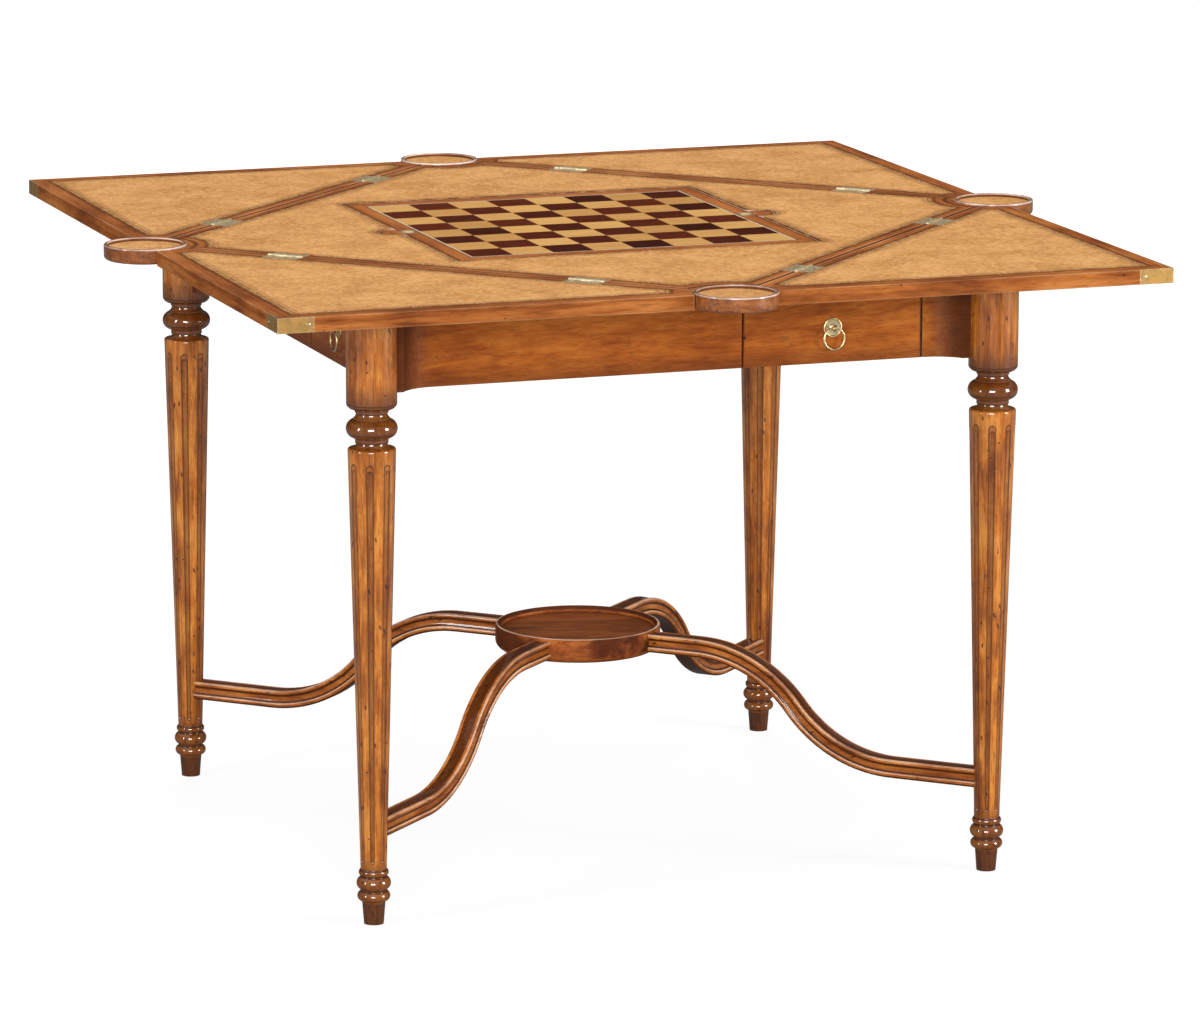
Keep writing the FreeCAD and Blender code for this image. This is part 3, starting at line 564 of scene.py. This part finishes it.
# Borders of the top: the grain follows each edge and is mitred at the corners, with dark lines at
# the folds and along the hides and a painted highlight line beside each fold. The shifts give each
# hinge strip a stretch of grain of its own.
edgeLook = {**apronLook, "ramp": tones((0.130, 0.030, 0.007), (0.310, 0.090, 0.018), (0.480, 0.172, 0.042)),
            "streaks": 110, "stretch": 0.08, "marks": (wormHoles, fineNicks), "grimeAndShadeReach": 4 * mm,
            "worn": rgb(0.70, 0.42, 0.21), "rubAndHighlight": 0.42, "rubAndHighlightReach": 2.2 * mm, "rubAndHighlightFull": 0.42,
            "coat": 0.0, "rough": 0.56, "specular": 0.08, "edge": 1.4 * mm}
seam = {"leafStrip": 16 * mm, "centreStrip": 20 * mm, "shiftX": 3.7, "shiftY": 1.9,
        "foldHalf": 2.6 * mm, "foldCore": 0.4, "foldGlaze": 0.95,
        "hideHalf": 4.5 * mm, "hideCore": 0.3, "hideGlaze": 0.8,
        "lightAt": 4.2 * mm, "lightHalf": 1.1 * mm, "lightCore": 0.4, "foldHighlight": 0.55}


def framedWood(name, hingeStrip, findInset):
    wire = newFinish(name)
    place = objectPlace(wire)
    x, y, z = split(wire, place)
    ax, ay = abs(x), abs(y)
    outer = mixVector(wire, ax > ay, joined(wire, x, y, z), joined(wire, y, x, z))
    across = (ax + ay) * diagonal
    shift = (x > 0) * seam["shiftX"] + (y > 0) * seam["shiftY"]
    hinge = joined(wire, (ax - ay) * diagonal + shift, across, z)
    fromFold = abs(across - hingeLine)
    fold = fromFold.within(seam["foldHalf"], seam["foldCore"]) * seam["foldGlaze"]
    atHide = abs(findInset(wire, place)).within(seam["hideHalf"], seam["hideCore"]) * seam["hideGlaze"]
    # painted highlight line beside the fold
    light = abs(fromFold - seam["lightAt"]).within(seam["lightHalf"], seam["lightCore"]) * seam["foldHighlight"]
    wood(wire, edgeLook, mixVector(wire, fromFold < hingeStrip, outer, hinge), fold.most(atHide), light)


framedWood("leafWood", seam["leafStrip"], leafInset)
framedWood("centreWood", seam["centreStrip"], centreInset)


# Tan hide with a darkened margin, a line of painted shade along its edge and two tooled lines. A noise is
# its rate, detail, roughness and twist; a line is its inset, half width and strength.
hideLook = {"pale": rgb(0.685, 0.362, 0.138), "deep": rgb(0.420, 0.187, 0.053),
            "dark": rgb(0.085, 0.024, 0.008), "rim": 3.6 * mm, "rimShade": 0.95,
            "margin": 19 * mm, "marginGlaze": 0.5, "marginBase": 0.55, "marginWear": 0.45,
            "lines": ((6.5 * mm, 0.8 * mm, 0.75), (12.5 * mm, 0.56 * mm, 0.5)),
            "lineCore": 0.6, "lineReach": 1.5, "lineBase": 0.4, "lineWear": 0.6,
            "cloud": (16, 3, 0.55, 0.5), "cloudShare": 0.35, "mottle": (135, 4, 0.65, 0.8),
            "mottleShare": 0.65, "toneRange": (0.33, 0.65),
            "pebbles": 620, "pebbleSoft": 0.6, "specks": (markKind(46, 0.07, 0.30),
                                                          markKind(90, 0.10, 0.16, (0.3, 0.2, 0.9))),
            "speckGlaze": 0.8, "shadeAndWear": (70, 3, 0.6), "wearRange": (0.30, 0.62),
            "mottleDull": 0.2, "lineDull": 0.1, "pebbleHigh": 0.5, "mottleHigh": 0.3, "lineDeep": 1.2,
            "rough": 0.74, "bump": 0.35, "bumpDepth": 0.35 * mm, "edge": 0.4 * mm, "specular": 0.06}


def hide(name, findInset):
    wire = newFinish(name)
    look = hideLook
    place = objectPlace(wire)
    inset = findInset(wire, place)
    cloud = noise(wire, place, *look["cloud"])
    mottle = noise(wire, place, *look["mottle"])
    pebble = wire.node("ShaderNodeTexVoronoi", {"feature": "SMOOTH_F1"},
                       {"Vector": place, "Scale": look["pebbles"], "Smoothness": look["pebbleSoft"]})
    tone = cloud * look["cloudShare"] + mottle * look["mottleShare"]
    colour = mixColour(wire, tone.ease(*look["toneRange"]), look["deep"], look["pale"])
    specks = distress(wire, place, look["specks"])
    colour = mixColour(wire, specks * look["speckGlaze"], colour, look["dark"])
    worn = noise(wire, place, *look["shadeAndWear"]).ease(*look["wearRange"])
    margin = (1 - inset.ease(0.0, look["margin"])) * look["marginGlaze"]
    # painted shade in a line along the edge of the hide, below the raised border
    rim = inset.within(look["rim"]) * look["rimShade"]
    shaded = margin.most(rim) * (look["marginBase"] + worn * look["marginWear"])
    colour = mixColour(wire, shaded, colour, look["dark"])
    bands = []
    for middle, half, strength in look["lines"]:
        off = abs(inset - middle).ease(half * look["lineCore"], half * look["lineReach"])
        bands.append((1 - off) * strength)
    lines = strongest(*bands)
    colour = mixColour(wire, lines * (look["lineBase"] + worn * look["lineWear"]), colour, look["dark"])
    roughness = look["rough"] + (mottle - noiseMiddle) * look["mottleDull"] - lines * look["lineDull"]
    height = pebble * look["pebbleHigh"] + mottle * look["mottleHigh"] - lines * look["lineDeep"]
    shade(wire, look, colour, roughness, height)


hide("leafHide", leafInset)
hide("centreHide", centreInset)


# Aged brass: tarnished in patches and scratched, dark in its corners with grime and painted shade, and
# bright on its edges with wear and painted highlight
brassLook = {"bump": 0.2, "bumpDepth": 0.2 * mm, "edge": 0.5 * mm, "metallic": 1.0,
             "cloud": (4, 0.65, 0.6), "scratch": (900, 3, 0.6), "scratchStretch": (1, 0.12, 1),
             "tarnishRange": (0.42, 0.70), "grimeAndShade": rgb(0.10, 0.075, 0.03),
             "grimeAndShadeReach": 3 * mm, "bright": rgb(0.95, 0.84, 0.58), "brightReach": 1.5 * mm,
             "brightShare": 0.7, "tarnishDull": 0.18, "scratchDull": 0.15, "grimeAndShadeDull": 0.2,
             "scratchHigh": 0.5, "cloudHigh": 0.3}


def brass(name, pale, deep, rough, grimeAndShade, patches=90):
    wire = newFinish(name)
    look = brassLook
    place = objectPlace(wire)
    cloud = noise(wire, place, patches, *look["cloud"])
    scratch = noise(wire, scaled(wire, place, look["scratchStretch"]), *look["scratch"])
    tarnish = cloud.ease(*look["tarnishRange"])
    colour = mixColour(wire, tarnish, pale, deep)
    # grime and painted shade in the corners
    dirtAndShade = crevice(wire, look["grimeAndShadeReach"]) * grimeAndShade
    colour = mixColour(wire, dirtAndShade, colour, look["grimeAndShade"])
    # edges brightened, partly painted highlight
    colour = mixColour(wire, ridge(wire, look["brightReach"]) * look["brightShare"], colour, look["bright"])
    roughness = rough + tarnish * look["tarnishDull"] + (scratch - noiseMiddle) * look["scratchDull"]
    roughness = roughness + dirtAndShade * look["grimeAndShadeDull"]
    height = scratch * look["scratchHigh"] + cloud * look["cloudHigh"]
    shade(wire, look, colour, roughness, height)


brass("strapBrass", rgb(0.80, 0.47, 0.155), rgb(0.55, 0.30, 0.085), 0.36, 0.6)
brass("hingeBrass", rgb(0.92, 0.75, 0.47), rgb(0.34, 0.23, 0.10), 0.46, 0.8, 230)
brass("pullBrass", rgb(0.93, 0.76, 0.42), rgb(0.58, 0.43, 0.19), 0.32, 0.7)
brass("gilt", rgb(0.86, 0.72, 0.46), rgb(0.62, 0.46, 0.24), 0.34, 0.0)
brass("nailBrass", rgb(0.66, 0.60, 0.40), rgb(0.36, 0.38, 0.26), 0.26, 0.3)


# Board veneers: each square takes its own tone
veneerLook = {"bump": 0.12, "bumpDepth": 0.3 * mm, "edge": 0.25 * mm, "specular": 0.05,
              "stretch": 0.12, "shift": 5.0, "streak": (160, 5, 0.65, 0.5), "streakShare": 0.7,
              "ownShare": 0.3, "toneRange": (0.25, 0.72),
              "pores": (900, 2, 0.6), "poreStretch": 0.5, "poreRange": (0.58, 0.75),
              "poreGlaze": 0.4, "rough": 0.62, "streakDull": 0.15, "streakHigh": 0.5, "poreDeep": 0.5}


def squareVeneer(name, dark, pale, glaze):
    wire = newFinish(name)
    look = veneerLook
    x, y, z = split(wire, objectPlace(wire))
    column = ((x + squaresHalf) / squareSide).floor()
    row = ((y + squaresHalf) / squareSide).floor()
    own = wire.node("ShaderNodeTexWhiteNoise", None, {"Vector": joined(wire, column, row, 0.0)})
    shifted = joined(wire, x * look["stretch"], y + own * look["shift"], z)
    streak = noise(wire, shifted, *look["streak"])
    pores = noise(wire, scaled(wire, shifted, (look["poreStretch"], 1, 1)), *look["pores"])
    pores = pores.ease(*look["poreRange"])
    tone = (streak * look["streakShare"] + own * look["ownShare"]).ease(*look["toneRange"])
    colour = ramped(wire, tone, (dark, pale))
    colour = mixColour(wire, pores * look["poreGlaze"], colour, glaze)
    roughness = look["rough"] + (streak - noiseMiddle) * look["streakDull"]
    shade(wire, look, colour, roughness, streak * look["streakHigh"] - pores * look["poreDeep"])


squareVeneer("darkVeneer", rgb(0.024, 0.0035, 0.001), rgb(0.100, 0.0145, 0.0035), rgb(0.02, 0.005, 0.003))
squareVeneer("lightVeneer", rgb(0.42, 0.205, 0.058), rgb(0.60, 0.335, 0.108), rgb(0.30, 0.14, 0.045))


# Border of the lift-out board, with dark lines near its outer edge and beside the squares, and a
# painted highlight on the arris round the top. The cores and reaches are shares of the sizes before them.
boardLook = {**edgeLook, "marks": (fineNicks,), "grimeAndShadeReach": 3 * mm, "worn": rgb(0.72, 0.56, 0.46),
             "ramp": tones((0.170, 0.042, 0.008), (0.340, 0.100, 0.020), (0.480, 0.160, 0.036))}
boardPlan = {"line": 3.2 * mm, "outerCore": 0.2, "outerReach": 0.6, "innerReach": 1.6, "lineDark": 0.85,
             "arris": 1.7 * mm, "arrisCore": 0.6, "arrisHighlight": 0.75}


def boardBorderWood(name):
    wire = newFinish(name)
    plan = boardPlan
    line = plan["line"]
    x, y, z = split(wire, objectPlace(wire))
    ax, ay = abs(x), abs(y)
    far = ax.most(ay)
    place = mixVector(wire, ax > ay, joined(wire, x, y, z), joined(wire, y, x, z))
    toNose = topPlan["lobeNose"] - length(ax - noseX, ay)
    inside = (boardHalf - far).most(toNose)
    outer = 1 - abs(inside - line).ease(line * plan["outerCore"], line * plan["outerReach"])
    inner = 1 - abs(far - squaresHalf).ease(line, line * plan["innerReach"])
    # painted highlight on the top arris
    arris = inside.within(plan["arris"], plan["arrisCore"]) * plan["arrisHighlight"]
    arris = arris * (z > boardHigh - plan["arris"])
    wood(wire, boardLook, place, outer.most(inner) * plan["lineDark"], arris)


boardBorderWood("boardBorder")


# Pale stringing round the squares, and brushed steel of the swivel bolt
stringingLook = {"bump": 0.1, "edge": 0.3 * mm, "coat": 0.4, "coatRough": 0.12,
                 "fleck": (220, 3, 0.6), "stretch": (1, 1, 1), "fleckRange": (0.3, 0.7),
                 "deep": rgb(0.62, 0.46, 0.27), "pale": rgb(0.88, 0.76, 0.56),
                 "rough": 0.3, "fleckDull": 0.1}
steelLook = {"bump": 0.15, "edge": 0.4 * mm, "metallic": 1.0,
             "fleck": (700, 3, 0.6), "stretch": (1, 1, 0.1),
             "deep": rgb(0.36, 0.35, 0.34), "pale": rgb(0.58, 0.57, 0.55),
             "rough": 0.3, "fleckDull": 0.2}


def flecked(name, look):
    wire = newFinish(name)
    fleck = noise(wire, scaled(wire, objectPlace(wire), look["stretch"]), *look["fleck"])
    share = fleck.ease(*look["fleckRange"]) if "fleckRange" in look else fleck
    colour = mixColour(wire, share, look["deep"], look["pale"])
    shade(wire, look, colour, look["rough"] + fleck * look["fleckDull"], fleck)


flecked("stringingPale", stringingLook)
flecked("pivotSteel", steelLook)
print("finishes made:", len(finishes))


def dress(finishName, *nodeNames):
    for nodeName in nodeNames:
        nodes[nodeName].material_slots[0].material = finishes[finishName]


dress("apronWoodX", "apron_front", "apron_back", "drawer_front_front", "drawer_front_back")
dress("apronWoodY", "apron_left", "apron_right", "drawer_front_left", "drawer_front_right")
dress("stretcherWoodA", "stretcher_front_left", "stretcher_back_right")
dress("stretcherWoodB", "stretcher_front_right", "stretcher_back_left")
dress("dishWood", "stretcher_dish")
dress("cupWood", "cup_dishes")
dress("centreWood", "centre_panel")
dress("centreHide", "centre_leathers")
dress("hingeBrass", "centre_hinges")
dress("pivotSteel", "swivel_pivot")
dress("boardBorder", "board_panel")
dress("stringingPale", "board_stringing")
dress("pullBrass", "thumb_pulls")
dress("darkVeneer", "dark_squares")
dress("lightVeneer", "light_squares")
dress("drawerWood", "drawer_dividers", "drawer_runners", "pivot_bearer", "board_well", "cup_dowels")
for corner in cornerNames:
    dress("legWood", f"leg_{corner}")
    dress("leafWood", f"leaf_panel_{corner}")
    dress("leafHide", f"leaf_leather_{corner}")
    dress("strapBrass", f"leaf_strap_{corner}")
    dress("hingeBrass", f"leaf_hinges_{corner}")
for side in sideNames:
    dress("drawerWood", f"drawer_box_{side}")
    dress("pullBrass", f"pull_plate_{side}", f"pull_ring_{side}")
print("CAD nodes dressed")


# Tooling and fixings that repeat: Geometry Nodes on a small guide mesh, one piece to a body.
# Inputs are sizes unless they are named here.
inputKinds = {"Seed": "NodeSocketInt", "Finish": "NodeSocketMaterial", "Groove": "NodeSocketMaterial"}


class Grower:
    def __init__(self, name, *labels):
        self.group = bpy.data.node_groups.new(name, "GeometryNodeTree")
        self.ids = {}
        face = self.group.interface
        face.new_socket("Geometry", in_out="INPUT", socket_type="NodeSocketGeometry")
        for label in labels:
            kind = inputKinds.get(label, "NodeSocketFloat")
            self.ids[label] = face.new_socket(label, in_out="INPUT", socket_type=kind).identifier
        face.new_socket("Geometry", in_out="OUTPUT", socket_type="NodeSocketGeometry")
        self.start = self.group.nodes.new("NodeGroupInput")
        self.end = self.group.nodes.new("NodeGroupOutput")
        self.wire = Wire(self.group)

    def given(self, label):
        return Wire(self.group, self.start.outputs[label])

    def painted(self, geometry, label, where=True):
        return self.wire.node("GeometryNodeSetMaterial", None, {
            "Geometry": geometry, "Selection": where, "Material": self.given(label)})

    def attribute(self, name, kind):
        return self.wire.node("GeometryNodeInputNamedAttribute", {"data_type": kind}, {"Name": name})

    def smoothBall(self, segments, rings):
        ball = self.wire.node("GeometryNodeMeshUVSphere", None,
                              {"Segments": segments, "Rings": rings, "Radius": 1.0})
        radius = self.given("Radius")
        size = joined(self.wire, radius, radius, self.given("Height"))
        shaped = self.wire.node("GeometryNodeTransform", None, {"Geometry": ball, "Scale": size})
        return self.wire.node("GeometryNodeSetShadeSmooth", None, {"Geometry": shaped})

    def randomBetween(self, low, high, seed):
        return self.wire.node("FunctionNodeRandomValue", {"data_type": "FLOAT"},
                              {2: low, 3: high, 8: seed}, 1)

    def close(self, instances):
        real = self.wire.node("GeometryNodeRealizeInstances", None, {"Geometry": instances})
        done = self.painted(real, "Finish")
        if "Groove" in self.ids:
            done = self.painted(done, "Groove", self.attribute("groove", "BOOLEAN"))
        self.group.links.new(done.socket, self.end.inputs["Geometry"])

    def grow(self, name, guide, values, body, slotName):
        # one plain mesh from the guide, at rest in the frame
        source = bpy.data.objects.new(name + "Guide", guide)
        bpy.context.scene.collection.objects.link(source)
        modifier = source.modifiers.new("grow", "NODES")
        modifier.node_group = self.group
        for label, value in values.items():
            modifier[self.ids[label]] = value
        graph = bpy.context.evaluated_depsgraph_get()
        mesh = bpy.data.meshes.new_from_object(source.evaluated_get(graph))
        bpy.data.objects.remove(source)
        piece = bpy.data.objects.new(name, mesh)
        mesh.name = name
        bpy.context.scene.collection.objects.link(piece)
        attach(piece, body)


# Trim: a slot's sizes are shares of the screw's radius and height, least and most of a dot's size
trim = {"inset": 5.2 * mm, "spacing": 8.5 * mm, "dotRadius": 1.0 * mm, "dotHeight": 0.18 * mm, "kept": 0.5,
        "dotSegments": 8, "dotRings": 4, "dotLeast": 0.55, "dotMost": 1.0, "sizeSeed": 3, "centreSeed": 9,
        "nailRadius": 2.1 * mm, "nailHeight": 0.3 * mm, "nailBack": 6.5 * mm,
        "nailSegments": 20, "nailRings": 10,
        "screwRadius": 2.3 * mm, "screwHeight": 0.1 * mm, "screwAcross": 11 * mm, "screwAlong": 15 * mm,
        "screwSides": 20, "slotLong": 1.7, "slotWide": 0.34, "slotProud": 2.3, "screwSeed": 7,
        "hingePlace": 200 * mm, "cupArc": 6, "centreArc": 12, "noseArc": 8, "hollowArc": 6}


def makeDotGrower():
    # worn gilt dots along a tooled line; some have gone
    grower = Grower("toolingDots", "Spacing", "Radius", "Height", "Kept", "Seed", "Finish")
    wire = grower.wire
    line = wire.node("GeometryNodeMeshToCurve", None, {"Mesh": grower.given("Geometry")})
    spread = wire.node("GeometryNodeResampleCurve", {"mode": "LENGTH"},
                       {"Curve": line, "Length": grower.given("Spacing")})
    dot = grower.smoothBall(trim["dotSegments"], trim["dotRings"])
    seed = grower.given("Seed")
    kept = wire.node("FunctionNodeRandomValue", {"data_type": "BOOLEAN"},
                     {6: grower.given("Kept"), 8: seed}, 3)
    size = grower.randomBetween(trim["dotLeast"], trim["dotMost"], seed + trim["sizeSeed"])
    grower.close(wire.node("GeometryNodeInstanceOnPoints", None, {
        "Points": spread, "Selection": kept, "Instance": dot, "Scale": joined(wire, size, size, size)}))
    return grower


def slottedHead(grower):
    wire = grower.wire
    radius, height = grower.given("Radius"), grower.given("Height")
    drum = wire.node("GeometryNodeMeshCylinder", None,
                     {"Vertices": trim["screwSides"], "Radius": radius, "Depth": height * 2})
    size = joined(wire, radius * trim["slotLong"], radius * trim["slotWide"], height * trim["slotProud"])
    bar = wire.node("GeometryNodeMeshCube", None, {"Size": size})
    marked = wire.node("GeometryNodeStoreNamedAttribute", {"data_type": "BOOLEAN", "domain": "FACE"},
                       {"Geometry": bar, "Name": "groove", "Value": True})
    both = wire.tree.nodes.new("GeometryNodeJoinGeometry")
    for part in (drum, marked):
        wire.tree.links.new(part.socket, both.inputs[0])
    return Wire(wire.tree, both.outputs[0])


def nailDome(grower):
    return grower.smoothBall(trim["nailSegments"], trim["nailRings"])


def makeHeadGrower(name, makeHead, *finishLabels):
    # heads turned to face out of their plates, each spun by chance
    grower = Grower(name, "Radius", "Height", "Seed", *finishLabels)
    wire = grower.wire
    spin = grower.randomBetween(0.0, pi, grower.given("Seed"))
    turn = wire.node("FunctionNodeAxisAngleToRotation", None, {"Axis": (0, 0, 1), "Angle": spin})
    aimed = wire.node("FunctionNodeAlignRotationToVector", {"axis": "Z"},
                      {"Rotation": turn, "Vector": grower.attribute("facing", "FLOAT_VECTOR")})
    grower.close(wire.node("GeometryNodeInstanceOnPoints", None, {
        "Points": grower.given("Geometry"), "Instance": makeHead(grower), "Rotation": aimed}))
    return grower


def lineGuide(loops):
    # closed loops of points as bare edges
    points, edges = [], []
    for loop in loops:
        first = len(points)
        points += loop
        edges += [(first + n, first + (n + 1) % len(loop)) for n in range(len(loop))]
    mesh = bpy.data.meshes.new("guide")
    mesh.from_pydata(points, edges, [])
    return mesh


def pointGuide(places):
    # bare points with the way that each head faces
    mesh = bpy.data.meshes.new("guide")
    mesh.from_pydata([place for place, facing in places], [], [])
    layer = mesh.attributes.new("facing", "FLOAT_VECTOR", "POINT")
    for n, (place, facing) in enumerate(places):
        layer.data[n].vector = facing
    return mesh


def turnedBy(quarters, point):
    for quarter in range(quarters % 4):
        point = (-point[1], point[0], *point[2:])
    return point


def arcPoints(middle, radius, first, last, count):
    steps = [first + (last - first) * n / (count - 1) for n in range(count)]
    return [(middle[0] + radius * cos(a), middle[1] + radius * sin(a)) for a in steps]


def leafLoop(inset):
    # tooled line on the leaf at +x +y, inset from the edge of its hide
    edge = leatherHalf - inset
    radius = bandReach + inset
    line = (hingeLine + topPlan["hingeBorder"] + inset) * sqrt(2)
    first = pi - asin(sqrt(1 - ((cupReach - edge) / radius) ** 2))
    last = pi * 3 / 4 - asin((line - cupReach) / radius / sqrt(2))
    arc = arcPoints((cupReach, 0), radius, first, last, trim["cupArc"])
    return [(edge, edge)] + arc + [(y, x) for x, y in reversed(arc)]


def centreLoop(inset):
    # outer tooled line on the middle hide: four straight runs and an arc round each cup
    radius = bandReach + inset
    line = (hingeLine - topPlan["hingeBorder"] - inset) * sqrt(2)
    first = pi * 3 / 4 + asin((cupReach - line) / radius / sqrt(2))
    arc = arcPoints((cupReach, 0), radius, 2 * pi - first, first, trim["centreArc"])
    return [turnedBy(n, point) for n in range(4) for point in arc]


def boardLoop(inset):
    # tooled line round the board and its two lobes
    grow = topPlan["boardGap"] + inset
    half = boardHalf + grow
    nose, hollow = topPlan["lobeNose"] + grow, topPlan["lobeHollow"] - grow
    hollowX = boardHalf + topPlan["lobeHollow"]
    hollowY = sqrt((nose + hollow) ** 2 - (hollowX - noseX) ** 2)
    lean = atan2(hollowY, hollowX - noseX)
    upper = arcPoints((hollowX, hollowY), hollow, pi + lean, pi, trim["hollowArc"])
    run = arcPoints((noseX, 0), nose, 0, lean, trim["noseArc"]) + upper[1:] + [(half, half)]
    side = [(x, -y) for x, y in reversed(run)] + run[1:]
    return side + [(-x, -y) for x, y in side]


def hingeScrews(turn, side):
    # two heads on each plate, outside (1) or inside (-1) the fold at +x +y
    reach = hingeLine + side * trim["screwAcross"]
    places = []
    for hinge in (-1, 1):
        for end in (-1, 1):
            along = hinge * trim["hingePlace"] + end * trim["screwAlong"]
            point = ((reach - along) * diagonal, (reach + along) * diagonal, topHigh)
            places.append((turnedBy(turn, point), (0, 0, 1)))
    return places


def strapNails(turn):
    # one head on each outer face of the strap at +x +y
    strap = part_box("leaf_strap_front_right")
    back = openHalf - (strap[1].x - strap[0].x - trim["nailBack"])
    level = (topHigh + topLow) / 2
    places = (((openHalf, back, level), (1, 0, 0)), ((back, openHalf, level), (0, 1, 0)))
    return [(turnedBy(turn, place), turnedBy(turn, facing)) for place, facing in places]


def trimValues(kind, seed, finishName):
    return {"Radius": trim[kind + "Radius"], "Height": trim[kind + "Height"], "Seed": seed,
            "Finish": finishes[finishName]}


def dotValues(seed):
    return {**trimValues("dot", seed, "gilt"), "Spacing": trim["spacing"], "Kept": trim["kept"]}


def screwValues(seed):
    return {**trimValues("screw", seed, "hingeBrass"), "Groove": finishes["groove"]}


def growTrim():
    dots = makeDotGrower()
    nails = makeHeadGrower("nailHeads", nailDome, "Finish")
    screws = makeHeadGrower("screwHeads", slottedHead, "Finish", "Groove")
    for n, corner in enumerate(cornerNames):
        turn = n - cornerNames.index("back_right")  # the leaf at +x +y
        body = f"leaf_{corner}"
        loop = [turnedBy(turn, (*point, topHigh)) for point in leafLoop(trim["inset"])]
        dots.grow(f"tooling_{corner}", lineGuide([loop]), dotValues(n + 1), body, "leather")
        nails.grow(f"strap_nails_{corner}", pointGuide(strapNails(turn)),
                   trimValues("nail", n, "nailBrass"), body, "brass")
        outside = pointGuide(hingeScrews(turn, 1))
        screws.grow(f"leaf_screws_{corner}", outside, screwValues(n), body, "brass")
    middle = [centreLoop(trim["inset"]), boardLoop(trim["inset"])]
    middle = [[(*point, topHigh) for point in loop] for loop in middle]
    dots.grow("tooling_centre", lineGuide(middle), dotValues(trim["centreSeed"]), "top", "leather")
    places = [place for turn in range(4) for place in hingeScrews(turn, -1)]
    screws.grow("centre_screws", pointGuide(places), screwValues(trim["screwSeed"]), "top", "brass")


growTrim()
print("tooling, nails and screws grown")


# Stage: pale floor and soft boxes; a box is its place, its size, its watts and whether polish shows it
studio = {"floor": 60.0, "floorGlow": 0.875, "glowRange": (1.5, 5.0), "floorColour": 0.16,
          "floorRough": 0.9, "floorBounce": 0.20,
          "worldLow": 0.03, "worldHigh": 0.75, "skyRange": (0.25, 0.95), "aim": (0, 0, 0.5),
          "boxes": (((-3.6, -8.9, 2.2), (4.2, 3.0), 735, True), ((-4.8, -1.3, 1.6), (0.5, 1.9), 75, True),
                    ((4.3, -3.6, 1.7), (1.6, 2.2), 225, True), ((0.0, 0.0, 3.3), (2.6, 2.6), 38, False),
                    ((1.5, 7.5, 1.9), (3.0, 2.4), 270, False))}


def makeFloor():
    # white to the camera; darker to the light that it throws back up at the table
    half = studio["floor"] / 2
    mesh = bpy.data.meshes.new("paleFloor")
    mesh.from_pydata([(-half, -half, 0), (half, -half, 0), (half, half, 0), (-half, half, 0)],
                     [], [(0, 1, 2, 3)])
    floor = bpy.data.objects.new("paleFloor", mesh)
    bpy.context.scene.collection.objects.link(floor)
    wire = newFinish("paleFloor")
    x, y, z = split(wire, objectPlace(wire))
    away = length(x, y).ease(*studio["glowRange"])
    seen = wire.node("ShaderNodeBsdfPrincipled", None, {
        "Base Color": grey(studio["floorColour"]), "Roughness": studio["floorRough"],
        "Specular IOR Level": 0.0, "Emission Strength": 1.0,
        "Emission Color": mixColour(wire, away, grey(studio["floorGlow"]), grey(1))})
    thrown = wire.node("ShaderNodeBsdfDiffuse", None, {"Color": grey(studio["floorBounce"])})
    direct = wire.node("ShaderNodeLightPath", out="Is Camera Ray")
    both = wire.node("ShaderNodeMixShader", None, {0: direct, 1: thrown, 2: seen})
    wire.node("ShaderNodeOutputMaterial", None, {"Surface": both})
    mesh.materials.append(finishes["paleFloor"])


def makeLights():
    for n, (place, size, power, mirrored) in enumerate(studio["boxes"]):
        lamp = bpy.data.lights.new(f"softBox{n}", "AREA")
        lamp.shape = "RECTANGLE"
        lamp.size, lamp.size_y = size
        lamp.energy = power
        light = bpy.data.objects.new(f"softBox{n}", lamp)
        bpy.context.scene.collection.objects.link(light)
        light.visible_glossy = mirrored
        light.location = place
        toTable = Vector(studio["aim"]) - Vector(place)
        light.rotation_euler = toTable.to_track_quat("-Z", "Y").to_euler()


def makeWorld():
    # brighter overhead than at the horizon; white where the camera looks past the floor
    world = bpy.data.worlds.new("studioAir")
    bpy.context.scene.world = world
    world.use_nodes = True
    world.node_tree.nodes.clear()
    wire = Wire(world.node_tree)
    x, y, z = split(wire, wire.node("ShaderNodeTexCoord", out="Generated"))
    overhead = z.ease(*studio["skyRange"])
    level = overhead * (studio["worldHigh"] - studio["worldLow"]) + studio["worldLow"]
    direct = wire.node("ShaderNodeLightPath", out="Is Camera Ray")
    glow = wire.node("ShaderNodeBackground", None, {"Color": grey(1), "Strength": level.most(direct)})
    wire.node("ShaderNodeOutputWorld", None, {"Surface": glow})


makeFloor()
makeLights()
makeWorld()
bpy.context.scene.view_settings.view_transform = "Standard"
print("stage set")
